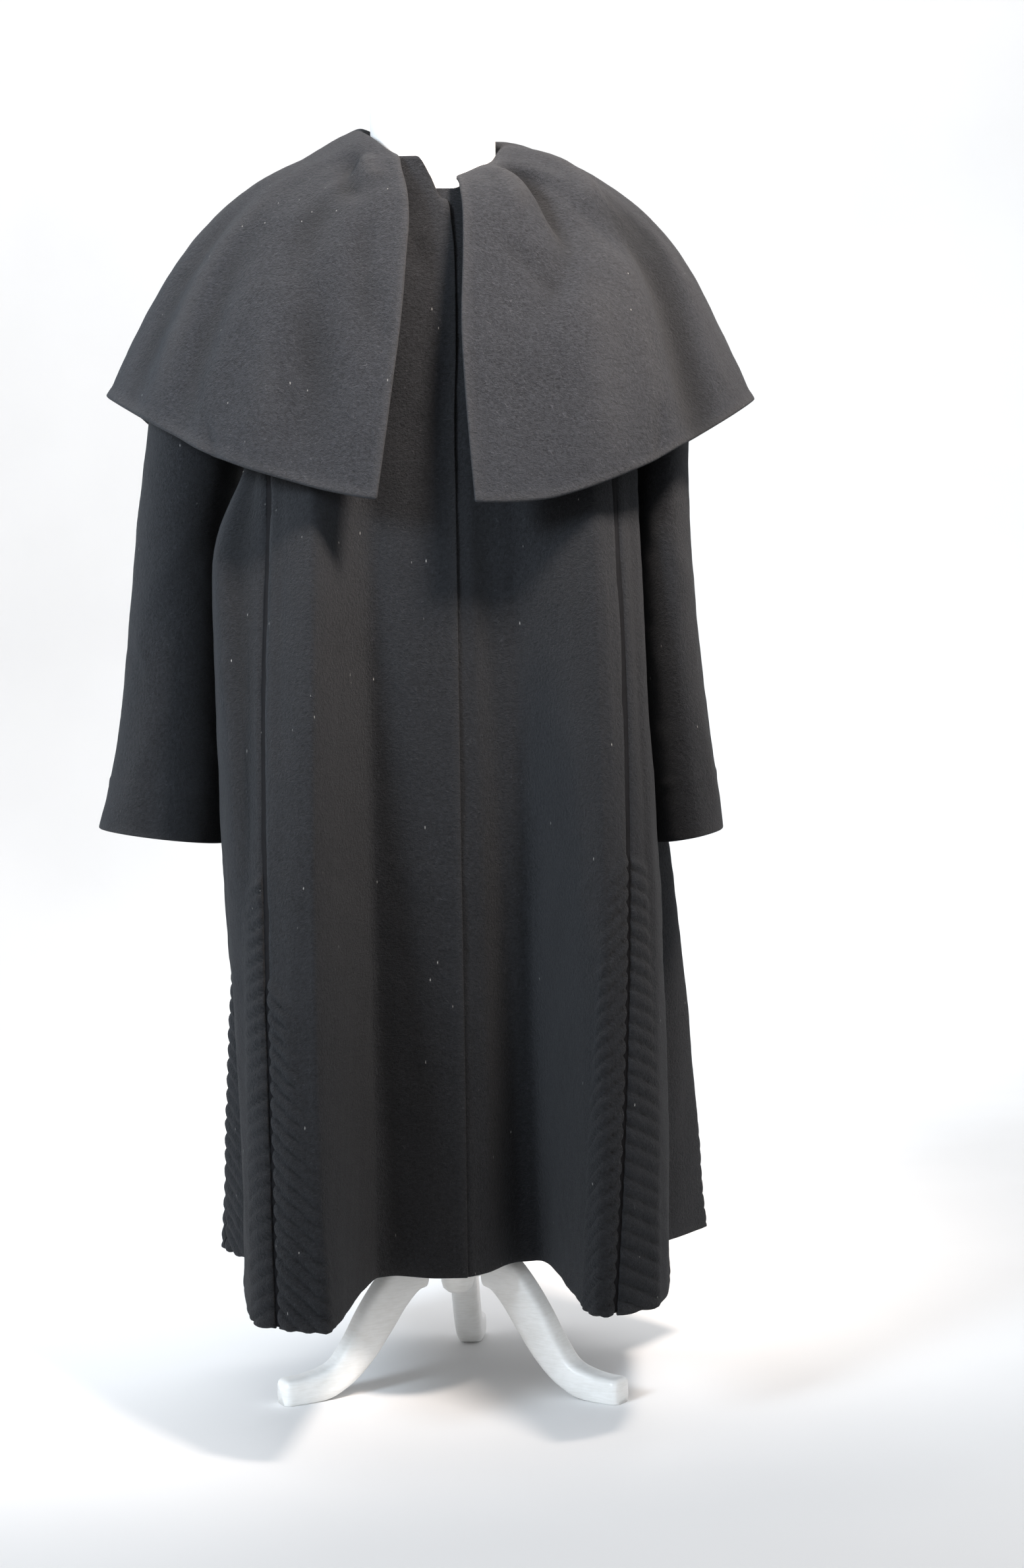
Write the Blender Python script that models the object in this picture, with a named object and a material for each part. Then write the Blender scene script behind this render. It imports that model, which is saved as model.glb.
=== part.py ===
"""Princess-line swing coat with a wide cape collar, worn on a limbless dress form with a tripod stand.

Metres, +Z up, floor at z = 0. The coat faces -Y, and +X is to the viewer's right, the wearer's left.
Every cloth piece is a thin wall cut from one smooth coat surface, so that neighbours meet at their seams.
"""
import math

import bmesh
import bpy
import numpy as np

# Driving dimensions
WALL = 0.002             # melton cloth with its lining
CAPE_WALL = 0.003        # cape collar, two layers turned at the edge
SEAM_GAP = 0.0003
PIPING = 0.005           # width of the velvet strip let into each shaped seam
PIPING_SINK = 0.0006     # how far the velvet lies below the cloth
PIPING_WALL = 0.0014
TUCK_PITCH = 0.0142      # from one padded tuck to the next, down the seam
TUCK_HEIGHT = 0.0018
HEM_Z = 0.120
FRONT_LAP = 0.0012       # air between the two lapped fronts
UNDER_SHARES = (0.12, 0.245, 0.33)   # columns of the left front, which lies under the right up to the second
LAP_SHARES = (0.68, 0.76, 0.84, 0.92)   # columns of the right front where it laps over
CENTRE = (0.0146, 0.0387, 0.0)   # brings the middle of the footprint to the origin

# Sections of the coat, from the neck down: half width, depth forward and back of the
# form's axis, and height at the front, the side and the back.
SECTIONS = (             # half_width, front, back, z_front, z_side, z_back
    (0.066, 0.085, 0.062, 1.090, 1.107, 1.1194),   # neck seam, one flat plane
    (0.125, 0.098, 0.078, 1.065, 1.085, 1.095),    # middle of the shoulder
    (0.186, 0.112, 0.092, 1.020, 1.048, 1.040),    # shoulder tip
    (0.178, 0.124, 0.102, 0.945, 0.958, 0.950),    # chest
    (0.162, 0.130, 0.106, 0.870, 0.870, 0.870),    # underarm
    (0.160, 0.134, 0.112, 0.800, 0.800, 0.800),
    (0.166, 0.134, 0.125, 0.650, 0.650, 0.650),    # waist
    (0.175, 0.130, 0.142, 0.500, 0.500, 0.500),
    (0.187, 0.120, 0.166, 0.300, 0.300, 0.300),
    (0.195, 0.112, 0.190, HEM_Z, HEM_Z, HEM_Z),    # hem
)
NECK_RING, SHOULDER_RING, TIP_RING, UNDERARM_RING, HEM_RING = 0, 1, 2, 4, 9
NECK_TILT = 0.2          # the neck seam's plane rises this much towards the back
ARMHOLE_HALF = 28.0      # degrees either side of the side line
ARMHOLE_SLACK = 0.0006   # the sleeve head sits this far inside the armhole
SLEEVE_COLUMNS_ROUND = 16

# Standing folds: the cloth between two azimuths is pushed by low_x and low_y at the hem, less and
# less up to the height where the fold begins, and by high_x and high_y just under that height,
# less and less down to the hem.
FOLD_START = 0.14        # height over which the upper part of a fold opens
FOLDS = {                # begins, full_from, full_to, ends, low_x, low_y, high_x, high_y, top_z, power, high_power
    "right_flute": (-90, -53, -33, -21, -0.004, -0.205, -0.025, 0.0, 0.97, 0.85, 1.0),
    "right_side_fold": (-92, -80, -68, -54, 0.0, 0.0, -0.038, -0.024, 0.89, 1.0, 2.4),
    "left_flute": (22, 38, 58, 92, 0.0, -0.180, 0.036, 0.0, 0.97, 0.85, 1.0),
    "left_front_trough": (3, 17, 25, 33, 0.0, 0.056, 0.0, 0.0, 0.84, 1.2, 1.0),
    "right_front_trough": (-24, -17, -14, -5, 0.0, 0.009, 0.0, 0.0, 0.60, 1.0, 1.0),
    "right_side_flute": (-130, -113, -103, -86, -0.030, 0.022, -0.004, 0.0, 0.80, 0.6, 1.0),
    "left_side_flute": (94, 110, 122, 137, 0.056, 0.026, 0.012, 0.0, 0.72, 0.5, 1.0),
    "right_back_flute": (-170, -155, -146, -130, -0.010, 0.052, 0.0, 0.0, 0.90, 1.0, 1.0),
    "left_back_flute": (139, 152, 159, 172, 0.010, 0.046, 0.0, 0.0, 0.90, 1.0, 1.0),
}

# Azimuth of each cutting line at every section, in degrees: 0 is the front, +90 the wearer's left.
LINES = {
    "front_edge": (8, 6, 5, 5, 4.5, 4.5, 4, 3.5, 3, 2.4),
    "under_edge": (-8, -8, -8, -8, -8, -8, -8, -8, -7, -6),
    "right_front_seam": (-90, -90, -60, -52, -52, -52, -53.5, -51.5, -48.5, -48),
    "left_front_seam": (90, 90, 60, 48, 47, 48, 49, 47.5, 44.5, 42),
    "right_side": (-90, -90, -90, -90, -90, -88, -84, -80, -76, -72),
    "left_side": (90, 90, 90, 90, 90, 88, 85, 82, 80, 78),
    "right_back_seam": (-90, -90, -120, -130, -128, -122, -112, -106, -101, -98),
    "left_back_seam": (90, 90, 120, 130, 129, 126, 124, 122, 121, 121),
}

# Chevron tucks beside each shaped seam: height of the topmost one, fall per metre away
# from the seam, and how far the tucks reach at the hem.
TUCKS = {                # top_z, slope, reach
    "front_right": (0.392, 0.85, 0.066),
    "side_front_right": (0.486, 0.50, 0.050),
    "front_left": (0.486, 0.72, 0.052),
    "side_front_left": (0.486, 0.47, 0.050),
    "side_back_right": (0.392, 0.60, 0.050),
    "side_back_left": (0.392, 0.60, 0.050),
    "back": (0.392, 0.60, 0.050),
}
TUCK_FADE = (1.0, 1.0, 0.75, 0.0)   # height of a tuck across its columns, from the seam outwards

# Sections of the cape collar, from its seam on the coat's neck, up the stand, over the roll and down.
CAPE_SECTIONS = (        # columns as in SECTIONS
    (0.064, 0.083, 0.060, 1.0905, 1.1075, 1.120),   # neck seam, just above the coat's
    (0.062, 0.080, 0.060, 1.108, 1.146, 1.152),     # top of the stand
    (0.080, 0.094, 0.078, 1.108, 1.150, 1.158),     # roll
    (0.126, 0.112, 0.100, 1.090, 1.132, 1.132),
    (0.166, 0.132, 0.120, 1.058, 1.112, 1.095),     # shoulder
    (0.208, 0.152, 0.138, 1.010, 1.076, 1.045),
    (0.242, 0.168, 0.154, 0.958, 1.030, 0.985),
    (0.271, 0.184, 0.168, 0.888, 0.974, 0.908),
    (0.297, 0.200, 0.184, 0.802, 0.920, 0.822),     # hem
)
CAPE_HEM_RING = len(CAPE_SECTIONS) - 1
CAPE_COLUMNS = 37
CAPE_SHIFT = (0.0, 0.0, 0.001, 0.003, 0.003, 0.001, -0.002, -0.005, -0.006)
CAPE_RIGHT_EDGE = (-31, -31, -20, -11.5, -8, -7.5, -7.4, -8.1, -9.7)
CAPE_LEFT_EDGE = (24, 22, 15, 9, 7.5, 6, 5.2, 5.5, 6)
CAPE_RISE = 1.8          # how sharply the cape's edge climbs from its front to its side
CAPE_LEFT_DROP = 0.013   # the wearer's left side of the cape hangs this much lower
CAPE_RIGHT_LIFT = 0.008  # the wearer's right side of the roll stands this much higher
# Soft folds of the cape: azimuths as above, push outwards, sections between which it lives.
CAPE_FOLDS = {           # begins, full_from, full_to, ends, push, from_ring, to_ring
    "left_shoulder_hollow": (34, 46, 50, 58, -0.013, 2.0, 5.6),
    "left_shoulder_ridge": (56, 62, 66, 76, 0.006, 2.6, 6.5),
    "right_shoulder_hollow": (-62, -52, -46, -38, -0.006, 2.0, 4.6),
    "right_hem_wave": (-50, -40, -32, -22, 0.007, 5.0, 9.5),
    "left_hem_wave": (16, 28, 36, 48, 0.006, 5.0, 9.5),
    "right_back_wave": (-150, -135, -125, -108, 0.012, 4.5, 9.5),
    "left_back_wave": (112, 128, 138, 152, 0.011, 4.5, 9.5),
    "back_wave": (160, 172, 179, 179.9, -0.006, 5.0, 9.5),
}

# Sleeve sections: centre, half width across and fore and aft, and how much higher the
# outer side lies than the inner one.
SLEEVE_RIGHT = (         # x, y, z, half_x, half_y, lift
    (0.205, 0.000, 0.952, 0.028, 0.074, 0.076),
    (0.2185, 0.000, 0.915, 0.037, 0.076, 0.056),
    (0.2265, 0.002, 0.858, 0.039, 0.075, 0.028),
    (0.239, 0.006, 0.780, 0.0415, 0.073, 0.012),
    (0.248, 0.008, 0.650, 0.047, 0.071, 0.008),
    (0.256, 0.008, 0.566, 0.052, 0.071, 0.008),
    (0.264, 0.006, 0.515, 0.056, 0.073, 0.008),
)
SLEEVE_LEFT = (
    (0.200, 0.000, 0.952, 0.023, 0.074, 0.076),
    (0.205, -0.003, 0.912, 0.026, 0.076, 0.054),
    (0.2025, -0.008, 0.855, 0.0255, 0.077, 0.026),
    (0.2010, -0.012, 0.780, 0.0255, 0.078, 0.012),
    (0.2070, -0.018, 0.650, 0.0275, 0.078, 0.008),
    (0.2145, -0.022, 0.566, 0.0300, 0.078, 0.006),
    (0.2195, -0.024, 0.507, 0.0310, 0.080, 0.006),
)

# Dress form and stand
FORM_SEAT = 0.0030       # from the coat's outer face to the form's shoulders
FORM_SECTIONS = (        # z, half width, forward, back
    (0.985, 0.155, 0.100, 0.080),
    (0.930, 0.146, 0.110, 0.086),
    (0.870, 0.140, 0.114, 0.088),
    (0.790, 0.126, 0.100, 0.086),
    (0.720, 0.118, 0.090, 0.086),
    (0.640, 0.134, 0.092, 0.102),
    (0.580, 0.142, 0.094, 0.110),
    (0.568, 0.132, 0.086, 0.102),
)
NECK_RADIUS = 0.0572
NECK_TOP = 1.205
POLE_RADIUS = 0.017
HUB_RADIUS = 0.034
HUB_TOP = 0.190
HUB_BOTTOM = 0.098
KNOB_RADIUS = 0.0155
KNOB_BOTTOM = 0.081
LEG_AZIMUTHS = (-65.0, 55.0, 175.0)
LEG_THICK = 0.026
# Leg centre line: reach from the axis, height, depth of the wood.
LEG_ROUTE = (
    (0.0345, 0.111, 0.038),
    (0.052, 0.105, 0.037),
    (0.069, 0.088, 0.036),
    (0.085, 0.066, 0.036),
    (0.103, 0.040, 0.032),
    (0.123, 0.0205, 0.027),
    (0.150, 0.0122, 0.0252),
    (0.178, 0.0108, 0.024),
)
SEAT_GAP = 0.0003

BLACK_WOOL = (0.012, 0.012, 0.014)
BLACK_VELVET = (0.004, 0.004, 0.006)
WHITE_JERSEY = (0.84, 0.84, 0.83)
WHITE_PAINT = (0.86, 0.86, 0.84)


def smooth(x):
    """Zero below 0, one above 1, with an even run between."""
    x = np.clip(x, 0.0, 1.0)
    return x * x * (3.0 - 2.0 * x)


def along(table, t):
    """A smooth curve through the rows of a table, read at row number t."""
    table = np.asarray(table, float)
    t = np.clip(np.asarray(t, float), 0.0, len(table) - 1.0)
    i = np.minimum(t.astype(int), len(table) - 2)
    f = t - i
    last = len(table) - 1
    p0, p1 = table[np.maximum(i - 1, 0)], table[i]
    p2, p3 = table[i + 1], table[np.minimum(i + 2, last)]
    if table.ndim > 1:
        f = f[..., None]
    m1, m2 = (p2 - p0) / 2, (p3 - p1) / 2
    return (p1 * (2 * f**3 - 3 * f**2 + 1) + m1 * (f**3 - 2 * f**2 + f)
            + p2 * (3 * f**2 - 2 * f**3) + m2 * (f**3 - f**2))


def plateau(a, row):
    """One between full_from and full_to, zero outside begins and ends."""
    a = (a + 180.0) % 360.0 - 180.0
    return smooth((a - row[0]) / (row[1] - row[0])) * (1.0 - smooth((a - row[2]) / (row[3] - row[2])))


def ring_point(a, half_width, front, back, z_front, z_side, z_back, rise=2.0):
    """A point of one section: half an ellipse forward, half an ellipse back, on a tilted plane with a crown."""
    s, c = np.sin(np.radians(a)), np.cos(np.radians(a))
    x = half_width * s
    y = -np.where(c > 0, front, back) * c
    tilt = (z_back - z_front) / (front + back)
    level = z_front + tilt * front
    z = level + tilt * y + (z_side - level) * np.abs(s) ** rise
    return np.stack([x, y, z], -1)


def coat(a, t):
    """The coat's outer face at azimuth a and section number t."""
    a, t = np.broadcast_arrays(np.asarray(a, float), np.asarray(t, float))
    p = ring_point(a, *np.moveaxis(along(SECTIONS, t), -1, 0))
    z = p[..., 2].copy()
    for row in FOLDS.values():
        low_x, low_y, high_x, high_y, top_z, power, high_power = row[4:]
        drop = np.clip((top_z - z) / (top_z - HEM_Z), 0.0, 1.0)
        low = plateau(a, row) * drop**power
        high = plateau(a, row) * (1.0 - drop**2) ** high_power * smooth((top_z - z) / FOLD_START)
        p[..., 0] += low * low_x + high * high_x
        p[..., 1] += low * low_y + high * high_y
    return p


def cape(b, s):
    """The cape collar's upper face at azimuth b and section number s."""
    b, s = np.broadcast_arrays(np.asarray(b, float), np.asarray(s, float))
    p = ring_point(b, *np.moveaxis(along(CAPE_SECTIONS, s), -1, 0), rise=CAPE_RISE)
    p[..., 0] += along(CAPE_SHIFT, s)
    side = (b + 180.0) % 360.0 - 180.0
    low = smooth((s - 3.0) / 3.0)
    drop = smooth((side - 12.0 + 10.0 * low) / (40.0 - 20.0 * low)) * (1.0 - smooth((side - 100.0) / 60.0))
    lift = smooth((-side - 20.0) / 40.0) * (1.0 - smooth((-side - 100.0) / 60.0))
    p[..., 2] -= CAPE_LEFT_DROP * drop * smooth(s / 1.5)
    p[..., 2] += CAPE_RIGHT_LIFT * lift * smooth(s) * (1.0 - smooth((s - 1.5) / 1.5))
    out = p[..., :2] / np.linalg.norm(p[..., :2], axis=-1, keepdims=True)
    for row in CAPE_FOLDS.values():
        push, low, high = row[4:]
        middle, half = (low + high) / 2, (high - low) / 2
        amount = plateau(b, row) * smooth(1.5 * (1.0 - np.abs(s - middle) / half)) * push
        p[..., :2] += out * amount[..., None]
    return p


def normal(surface, a, t):
    """Unit vector out of a surface's visible face."""
    da, dt = 0.05, 0.004
    across = surface(a + da, t) - surface(a - da, t)
    down = surface(a, t + dt) - surface(a, np.maximum(t - dt, 0.0))
    n = np.cross(down, across)
    return n / np.linalg.norm(n, axis=-1, keepdims=True)


def moved(a, t, distance):
    """The azimuth that lies a real distance round the coat from azimuth a."""
    step = 0.05
    speed = np.linalg.norm(coat(a + step, t) - coat(a - step, t), axis=-1) / (2 * step)
    return a + distance / speed


def line(name, t):
    return along(LINES[name], t)


def armhole_half(t):
    """Half the armhole's width in degrees at section t, zero at its top and its bottom."""
    middle = (TIP_RING + UNDERARM_RING) / 2
    reach = (UNDERARM_RING - TIP_RING) / 2
    return ARMHOLE_HALF * np.sqrt(np.clip(1.0 - ((t - middle) / reach) ** 2, 0.0, 1.0))


def side_line(side, t, towards):
    """Shoulder seam, armhole and side seam as one edge; towards is -1 for the front pieces, +1 for the back."""
    name = "right_side" if side < 0 else "left_side"
    base = line(name, t) + side * towards * armhole_half(t)
    return moved(base, t, side * towards * SEAM_GAP / 2)


# Mesh building

def join_columns(faces, left, right, left_keys, right_keys):
    """Fill between two columns of points whose rows may differ, walking down both in triangles."""
    i = j = 0
    while i < len(left) - 1 or j < len(right) - 1:
        if i == len(left) - 1:
            faces.append((left[i], right[j + 1], right[j]))
            j += 1
        elif j == len(right) - 1:
            faces.append((left[i], left[i + 1], right[j]))
            i += 1
        elif abs(left_keys[i + 1] - right_keys[j + 1]) < 1e-7:
            faces.append((left[i], left[i + 1], right[j + 1]))
            faces.append((left[i], right[j + 1], right[j]))
            i += 1
            j += 1
        elif left_keys[i + 1] - right_keys[j] < right_keys[j + 1] - left_keys[i]:
            faces.append((left[i], left[i + 1], right[j]))
            i += 1
        else:
            faces.append((left[i], right[j + 1], right[j]))
            j += 1


def solid(name, points, faces, material):
    """One closed body from shared points and faces, with its faces turned outwards."""
    mesh = bpy.data.meshes.new(name)
    mesh.from_pydata([tuple(p) for p in points], [], faces)
    bm = bmesh.new()
    bm.from_mesh(mesh)
    bmesh.ops.translate(bm, verts=bm.verts, vec=CENTRE)
    bmesh.ops.recalc_face_normals(bm, faces=bm.faces)
    bm.to_mesh(mesh)
    bm.free()
    mesh.materials.append(material)
    mesh.shade_smooth()
    mesh.set_sharp_from_angle(angle=math.radians(40))
    made = bpy.data.objects.new(name, mesh)
    bpy.context.collection.objects.link(made)
    return made


def closed_wall(name, outer, inner, material, around=False):
    """A wall between two grids of the same shape [column, row]; around joins the last column to the first."""
    columns, rows = outer.shape[:2]
    points = np.concatenate([outer.reshape(-1, 3), inner.reshape(-1, 3)])
    index = np.arange(columns * rows).reshape(columns, rows)
    faces = []
    pairs = [(j, j + 1) for j in range(columns - 1)] + ([(columns - 1, 0)] if around else [])
    for j, k in pairs:
        for i in range(rows - 1):
            for three in ((index[j, i], index[j, i + 1], index[k, i + 1]),
                          (index[j, i], index[k, i + 1], index[k, i])):
                faces.append(three)
                faces.append(tuple(columns * rows + v for v in three[::-1]))
        for i in (0, rows - 1):
            faces.append((index[j, i], index[k, i], columns * rows + index[k, i], columns * rows + index[j, i]))
    if not around:
        for j in (0, columns - 1):
            for i in range(rows - 1):
                faces.append((index[j, i], index[j, i + 1],
                              columns * rows + index[j, i + 1], columns * rows + index[j, i]))
    return solid(name, points, faces, material)


def armhole_rows():
    """Section numbers of the armhole's corners, from its top to its bottom, shared with the sleeve."""
    middle, reach = (TIP_RING + UNDERARM_RING) / 2, (UNDERARM_RING - TIP_RING) / 2
    return middle - reach * np.sin(np.radians(np.linspace(90, -90, SLEEVE_COLUMNS_ROUND // 2 + 1)))


def section_rows(t_top):
    """Section numbers of a plain panel's rows, closer together at the armhole and where the flutes stand out."""
    steps = np.concatenate([[0.0, 0.5, 1.0, 1.5], armhole_rows(), [4.5, 5.0, 5.5, 6.0, 6.5, 7.0],
                            np.arange(7.25, HEM_RING + 0.01, 0.25)])
    steps = steps[steps > t_top + 0.15]
    return np.concatenate([[t_top], steps])


def height_to_section(z):
    """Section number of a height in the skirt, where every section is level."""
    t = np.linspace(UNDERARM_RING, HEM_RING, 400)
    heights = along(SECTIONS, t)[..., 4]
    return np.interp(-np.asarray(z), -heights, t)


def tuck_rows(top_z):
    """Heights at the seam of the valleys and crests of the tucks, top to bottom, as far as the hem."""
    count = int((top_z - HEM_Z) / (TUCK_PITCH / 2)) + 1
    return top_z - np.arange(count) * TUCK_PITCH / 2


def column_fractions(left, right, tucks_left, tucks_right, spacing, fixed):
    """Shares of the panel's width, even along the hem, with extra columns for the tucks at an edge."""
    t = np.full(400, float(HEM_RING))
    u = np.linspace(0, 1, 400)
    hem = coat(left(t) * (1 - u) + right(t) * u, t)
    run = np.concatenate([[0], np.cumsum(np.linalg.norm(np.diff(hem, axis=0), axis=1))])
    total = run[-1]
    marks = len(TUCK_FADE)
    start = np.linspace(0, tucks_left[2], marks) if tucks_left else np.array([0.0])
    end = total - np.linspace(tucks_right[2], 0, marks) if tucks_right else np.array([total])
    count = max(1, int(round((end[0] - start[-1]) / spacing)))
    middle = np.linspace(start[-1], end[0], count + 1)[1:-1]
    plain = np.interp(middle, run, u)
    for share in fixed:
        plain = plain[np.abs(plain - share) > 0.03]
    shares = np.concatenate([np.interp(np.concatenate([start, end]), run, u), plain, fixed])
    return np.sort(shares)


def panel(name, left, right, t_top, material, tucks_left=None, tucks_right=None, spacing=0.040, fixed=(),
          adjust=None):
    """A wall between two cutting lines of the coat, with tucks raised in its outer points.

    left and right give the azimuth of each edge at a section number. fixed lists shares of the width
    where a column must stand. adjust moves the finished points.
    """
    rows = section_rows(t_top)
    u = column_fractions(left, right, tucks_left, tucks_right, spacing, fixed)
    marks = len(TUCK_FADE)

    def azimuth(fraction, t):
        return left(t) * (1 - fraction) + right(t) * fraction

    def place(fraction, t, raised=0.0):
        a = azimuth(fraction, t)
        p = coat(a, t) + normal(coat, a, t) * np.asarray(raised)[..., None]
        return adjust(p, a, t) if adjust else p

    points, outer, keys, heights, inside = [], [], [], [], []

    def add(block):
        start = sum(len(b) for b in points)
        points.append(block)
        return list(range(start, start + len(block)))

    for j, fraction in enumerate(u):
        tucks, rank, edge_fraction = None, 0, 0.0
        if tucks_left and j < marks:
            tucks, rank, edge_fraction = tucks_left, j, 0.0
        elif tucks_right and j >= len(u) - marks:
            tucks, rank, edge_fraction = tucks_right, len(u) - 1 - j, 1.0
        if tucks is None:
            outer.append(add(place(fraction, rows, np.zeros(len(rows)))))
            keys.append(rows.copy())
            heights.append(rows.copy())
            inside.append(rows)
            continue
        top_z, slope, _ = tucks
        seam_z = tuck_rows(top_z)
        seam_t = height_to_section(seam_z)
        away = np.linalg.norm(place(fraction, seam_t, np.zeros(len(seam_t)))
                              - place(edge_fraction, seam_t, np.zeros(len(seam_t))), axis=-1)
        z = seam_z - slope * away
        keep = z > HEM_Z + TUCK_PITCH * 0.2
        fine_t = height_to_section(z[keep])
        raised = np.where(np.arange(len(seam_z)) % 2 == 1, TUCK_HEIGHT * TUCK_FADE[rank], 0.0)[keep]
        above = rows[rows < seam_t[0] - 0.02]
        t = np.concatenate([above, fine_t, [HEM_RING]])
        lift = np.concatenate([np.zeros(len(above)), raised, [0.0]])
        key = np.concatenate([above, seam_t[keep], [seam_t[keep][-1] + 0.03]])
        outer.append(add(place(fraction, t, lift)))
        keys.append(key)
        heights.append(t)
        inside.append(t[lift == 0.0] if rank == 0 else rows)

    faces = []
    for j in range(len(u) - 1):
        both = (tucks_left and j + 1 < marks) or (tucks_right and j >= len(u) - marks)
        how = keys if both else heights
        join_columns(faces, outer[j], outer[j + 1], how[j], how[j + 1])

    inner = []
    for fraction, t in zip(u, inside):
        a = azimuth(fraction, t)
        n = normal(coat, a, t)
        if t[0] == NECK_RING:
            level = n[0] * np.array([1.0, 1.0, 0.0])
            flat = level / np.linalg.norm(level)
            n[0] = flat + np.array([0, 0, NECK_TILT * flat[1]])
        p = coat(a, t) - n * WALL
        inner.append(add(adjust(p, a, t) if adjust else p))
    for j in range(len(u) - 1):
        join_columns(faces, inner[j], inner[j + 1], inside[j], inside[j + 1])
        for end in (0, -1):
            faces.append((outer[j][end], outer[j + 1][end], inner[j + 1][end], inner[j][end]))
    join_columns(faces, inner[0], outer[0], inside[0], heights[0])
    join_columns(faces, outer[-1], inner[-1], heights[-1], inside[-1])
    return solid(name, np.concatenate(points), faces, material)


def make_fronts(wool):
    """Two fronts from neck and shoulder to hem; the wearer's right one laps over the left."""
    def right_outer_edge(t):
        return moved(line("right_front_seam", t), t, PIPING / 2 + SEAM_GAP)

    def left_outer_edge(t):
        return moved(line("left_front_seam", t), t, -PIPING / 2 - SEAM_GAP)

    def stand_up(p, a, t):
        """The free end of the neck stands a little above the seam plane beside the cape's edge."""
        peak = smooth((a + 22.0) / 9.0) * (1.0 - smooth((a + 4.0) / 12.0))
        p = p.copy()
        p[..., 2] += 0.020 * peak * np.clip(1.0 - t, 0.0, 1.0)
        return p

    def tuck_under(p, a, t):
        """Under the lap the left front lies one wall further in."""
        share = (a - line("under_edge", t)) / (left_outer_edge(t) - line("under_edge", t))
        back = (WALL + FRONT_LAP) * (1.0 - smooth((share - UNDER_SHARES[1]) / (UNDER_SHARES[2] - UNDER_SHARES[1])))
        return p - normal(coat, a, t) * back[..., None]

    panel("front_right", right_outer_edge, lambda t: line("front_edge", t), NECK_RING, wool,
          tucks_left=TUCKS["front_right"], fixed=LAP_SHARES, adjust=stand_up)
    panel("front_left", lambda t: line("under_edge", t), left_outer_edge, NECK_RING, wool,
          tucks_right=TUCKS["front_left"], fixed=UNDER_SHARES, adjust=tuck_under)


def make_sides(wool):
    """Side fronts and side backs, from the outer half of the shoulder round the armhole to the hem."""
    top = SHOULDER_RING + 0.12
    gap = PIPING / 2 + SEAM_GAP
    panel("side_front_right", lambda t: side_line(-1, t, -1),
          lambda t: moved(line("right_front_seam", t), t, -gap), top, wool,
          tucks_right=TUCKS["side_front_right"])
    panel("side_front_left", lambda t: moved(line("left_front_seam", t), t, gap),
          lambda t: side_line(1, t, -1), top, wool, tucks_left=TUCKS["side_front_left"])
    panel("side_back_right", lambda t: moved(line("right_back_seam", t), t, gap),
          lambda t: side_line(-1, t, 1), top, wool, tucks_left=TUCKS["side_back_right"])
    panel("side_back_left", lambda t: side_line(1, t, 1),
          lambda t: moved(line("left_back_seam", t), t, -gap), top, wool,
          tucks_right=TUCKS["side_back_left"])


def make_back(wool):
    """One back, cut on the fold, from seam to seam behind the form."""
    gap = PIPING / 2 + SEAM_GAP
    panel("back", lambda t: moved(line("left_back_seam", t), t, gap),
          lambda t: moved(line("right_back_seam", t) + 360.0, t, -gap), NECK_RING, wool,
          tucks_left=TUCKS["back"], tucks_right=TUCKS["back"], spacing=0.055)


def make_piping(velvet):
    """A narrow velvet strip down each shaped seam, a little below the cloth."""
    top = SHOULDER_RING + 0.12
    fine = np.arange(HEM_RING - 1.875, HEM_RING, 0.25)
    rows = np.sort(np.concatenate([section_rows(top), fine]))
    for seam in ("right_front_seam", "left_front_seam", "right_back_seam", "left_back_seam"):
        middle = line(seam, rows)
        edges = [moved(middle, rows, side * PIPING / 2) for side in (-1, 1)]
        outer = np.stack([coat(a, rows) - normal(coat, a, rows) * PIPING_SINK for a in edges])
        inner = np.stack([coat(a, rows) - normal(coat, a, rows) * (PIPING_SINK + PIPING_WALL) for a in edges])
        closed_wall(f"velvet_{seam}", outer, inner, velvet)


def make_sleeve(name, side, table, wool):
    """A sleeve set into the armhole, hanging to an open cuff."""
    phi = np.linspace(0, 2 * math.pi, SLEEVE_COLUMNS_ROUND, endpoint=False)
    a = side * (90.0 - ARMHOLE_HALF * np.cos(phi))
    t = (TIP_RING + UNDERARM_RING) / 2 - np.sin(phi) * (UNDERARM_RING - TIP_RING) / 2
    ring = coat(a, t)
    n = normal(coat, a, t)
    middle = ring.mean(axis=0)
    inward = middle - ring
    inward -= n * (inward * n).sum(axis=1, keepdims=True)
    inward /= np.linalg.norm(inward, axis=1, keepdims=True)
    ring = ring + inward * ARMHOLE_SLACK
    rings = [ring - n * 0.003, ring + n * 0.001, ring + n * 0.005]
    for t_row in (0, 0.5, 1, 1.5, 2, 2.5, 3, 3.5, 4, 4.5, 5, 6):
        x, y, z, half_x, half_y, lift = along(table, t_row)
        s, c = np.sin(phi), np.cos(phi)
        rings.append(np.stack([side * (x + half_x * s), y - half_y * c, z + lift * s], -1))
    outer = np.stack(rings, axis=1)
    down = np.gradient(outer, axis=1)
    around = np.roll(outer, -1, axis=0) - np.roll(outer, 1, axis=0)
    face = np.cross(around, down)
    face /= np.linalg.norm(face, axis=-1, keepdims=True)
    core = outer.mean(axis=0, keepdims=True)
    outward = np.sign((face * (outer - core)).sum(axis=-1).mean())
    inner = outer - face * outward * WALL
    closed_wall(name, outer, inner, wool, around=True)


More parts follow.
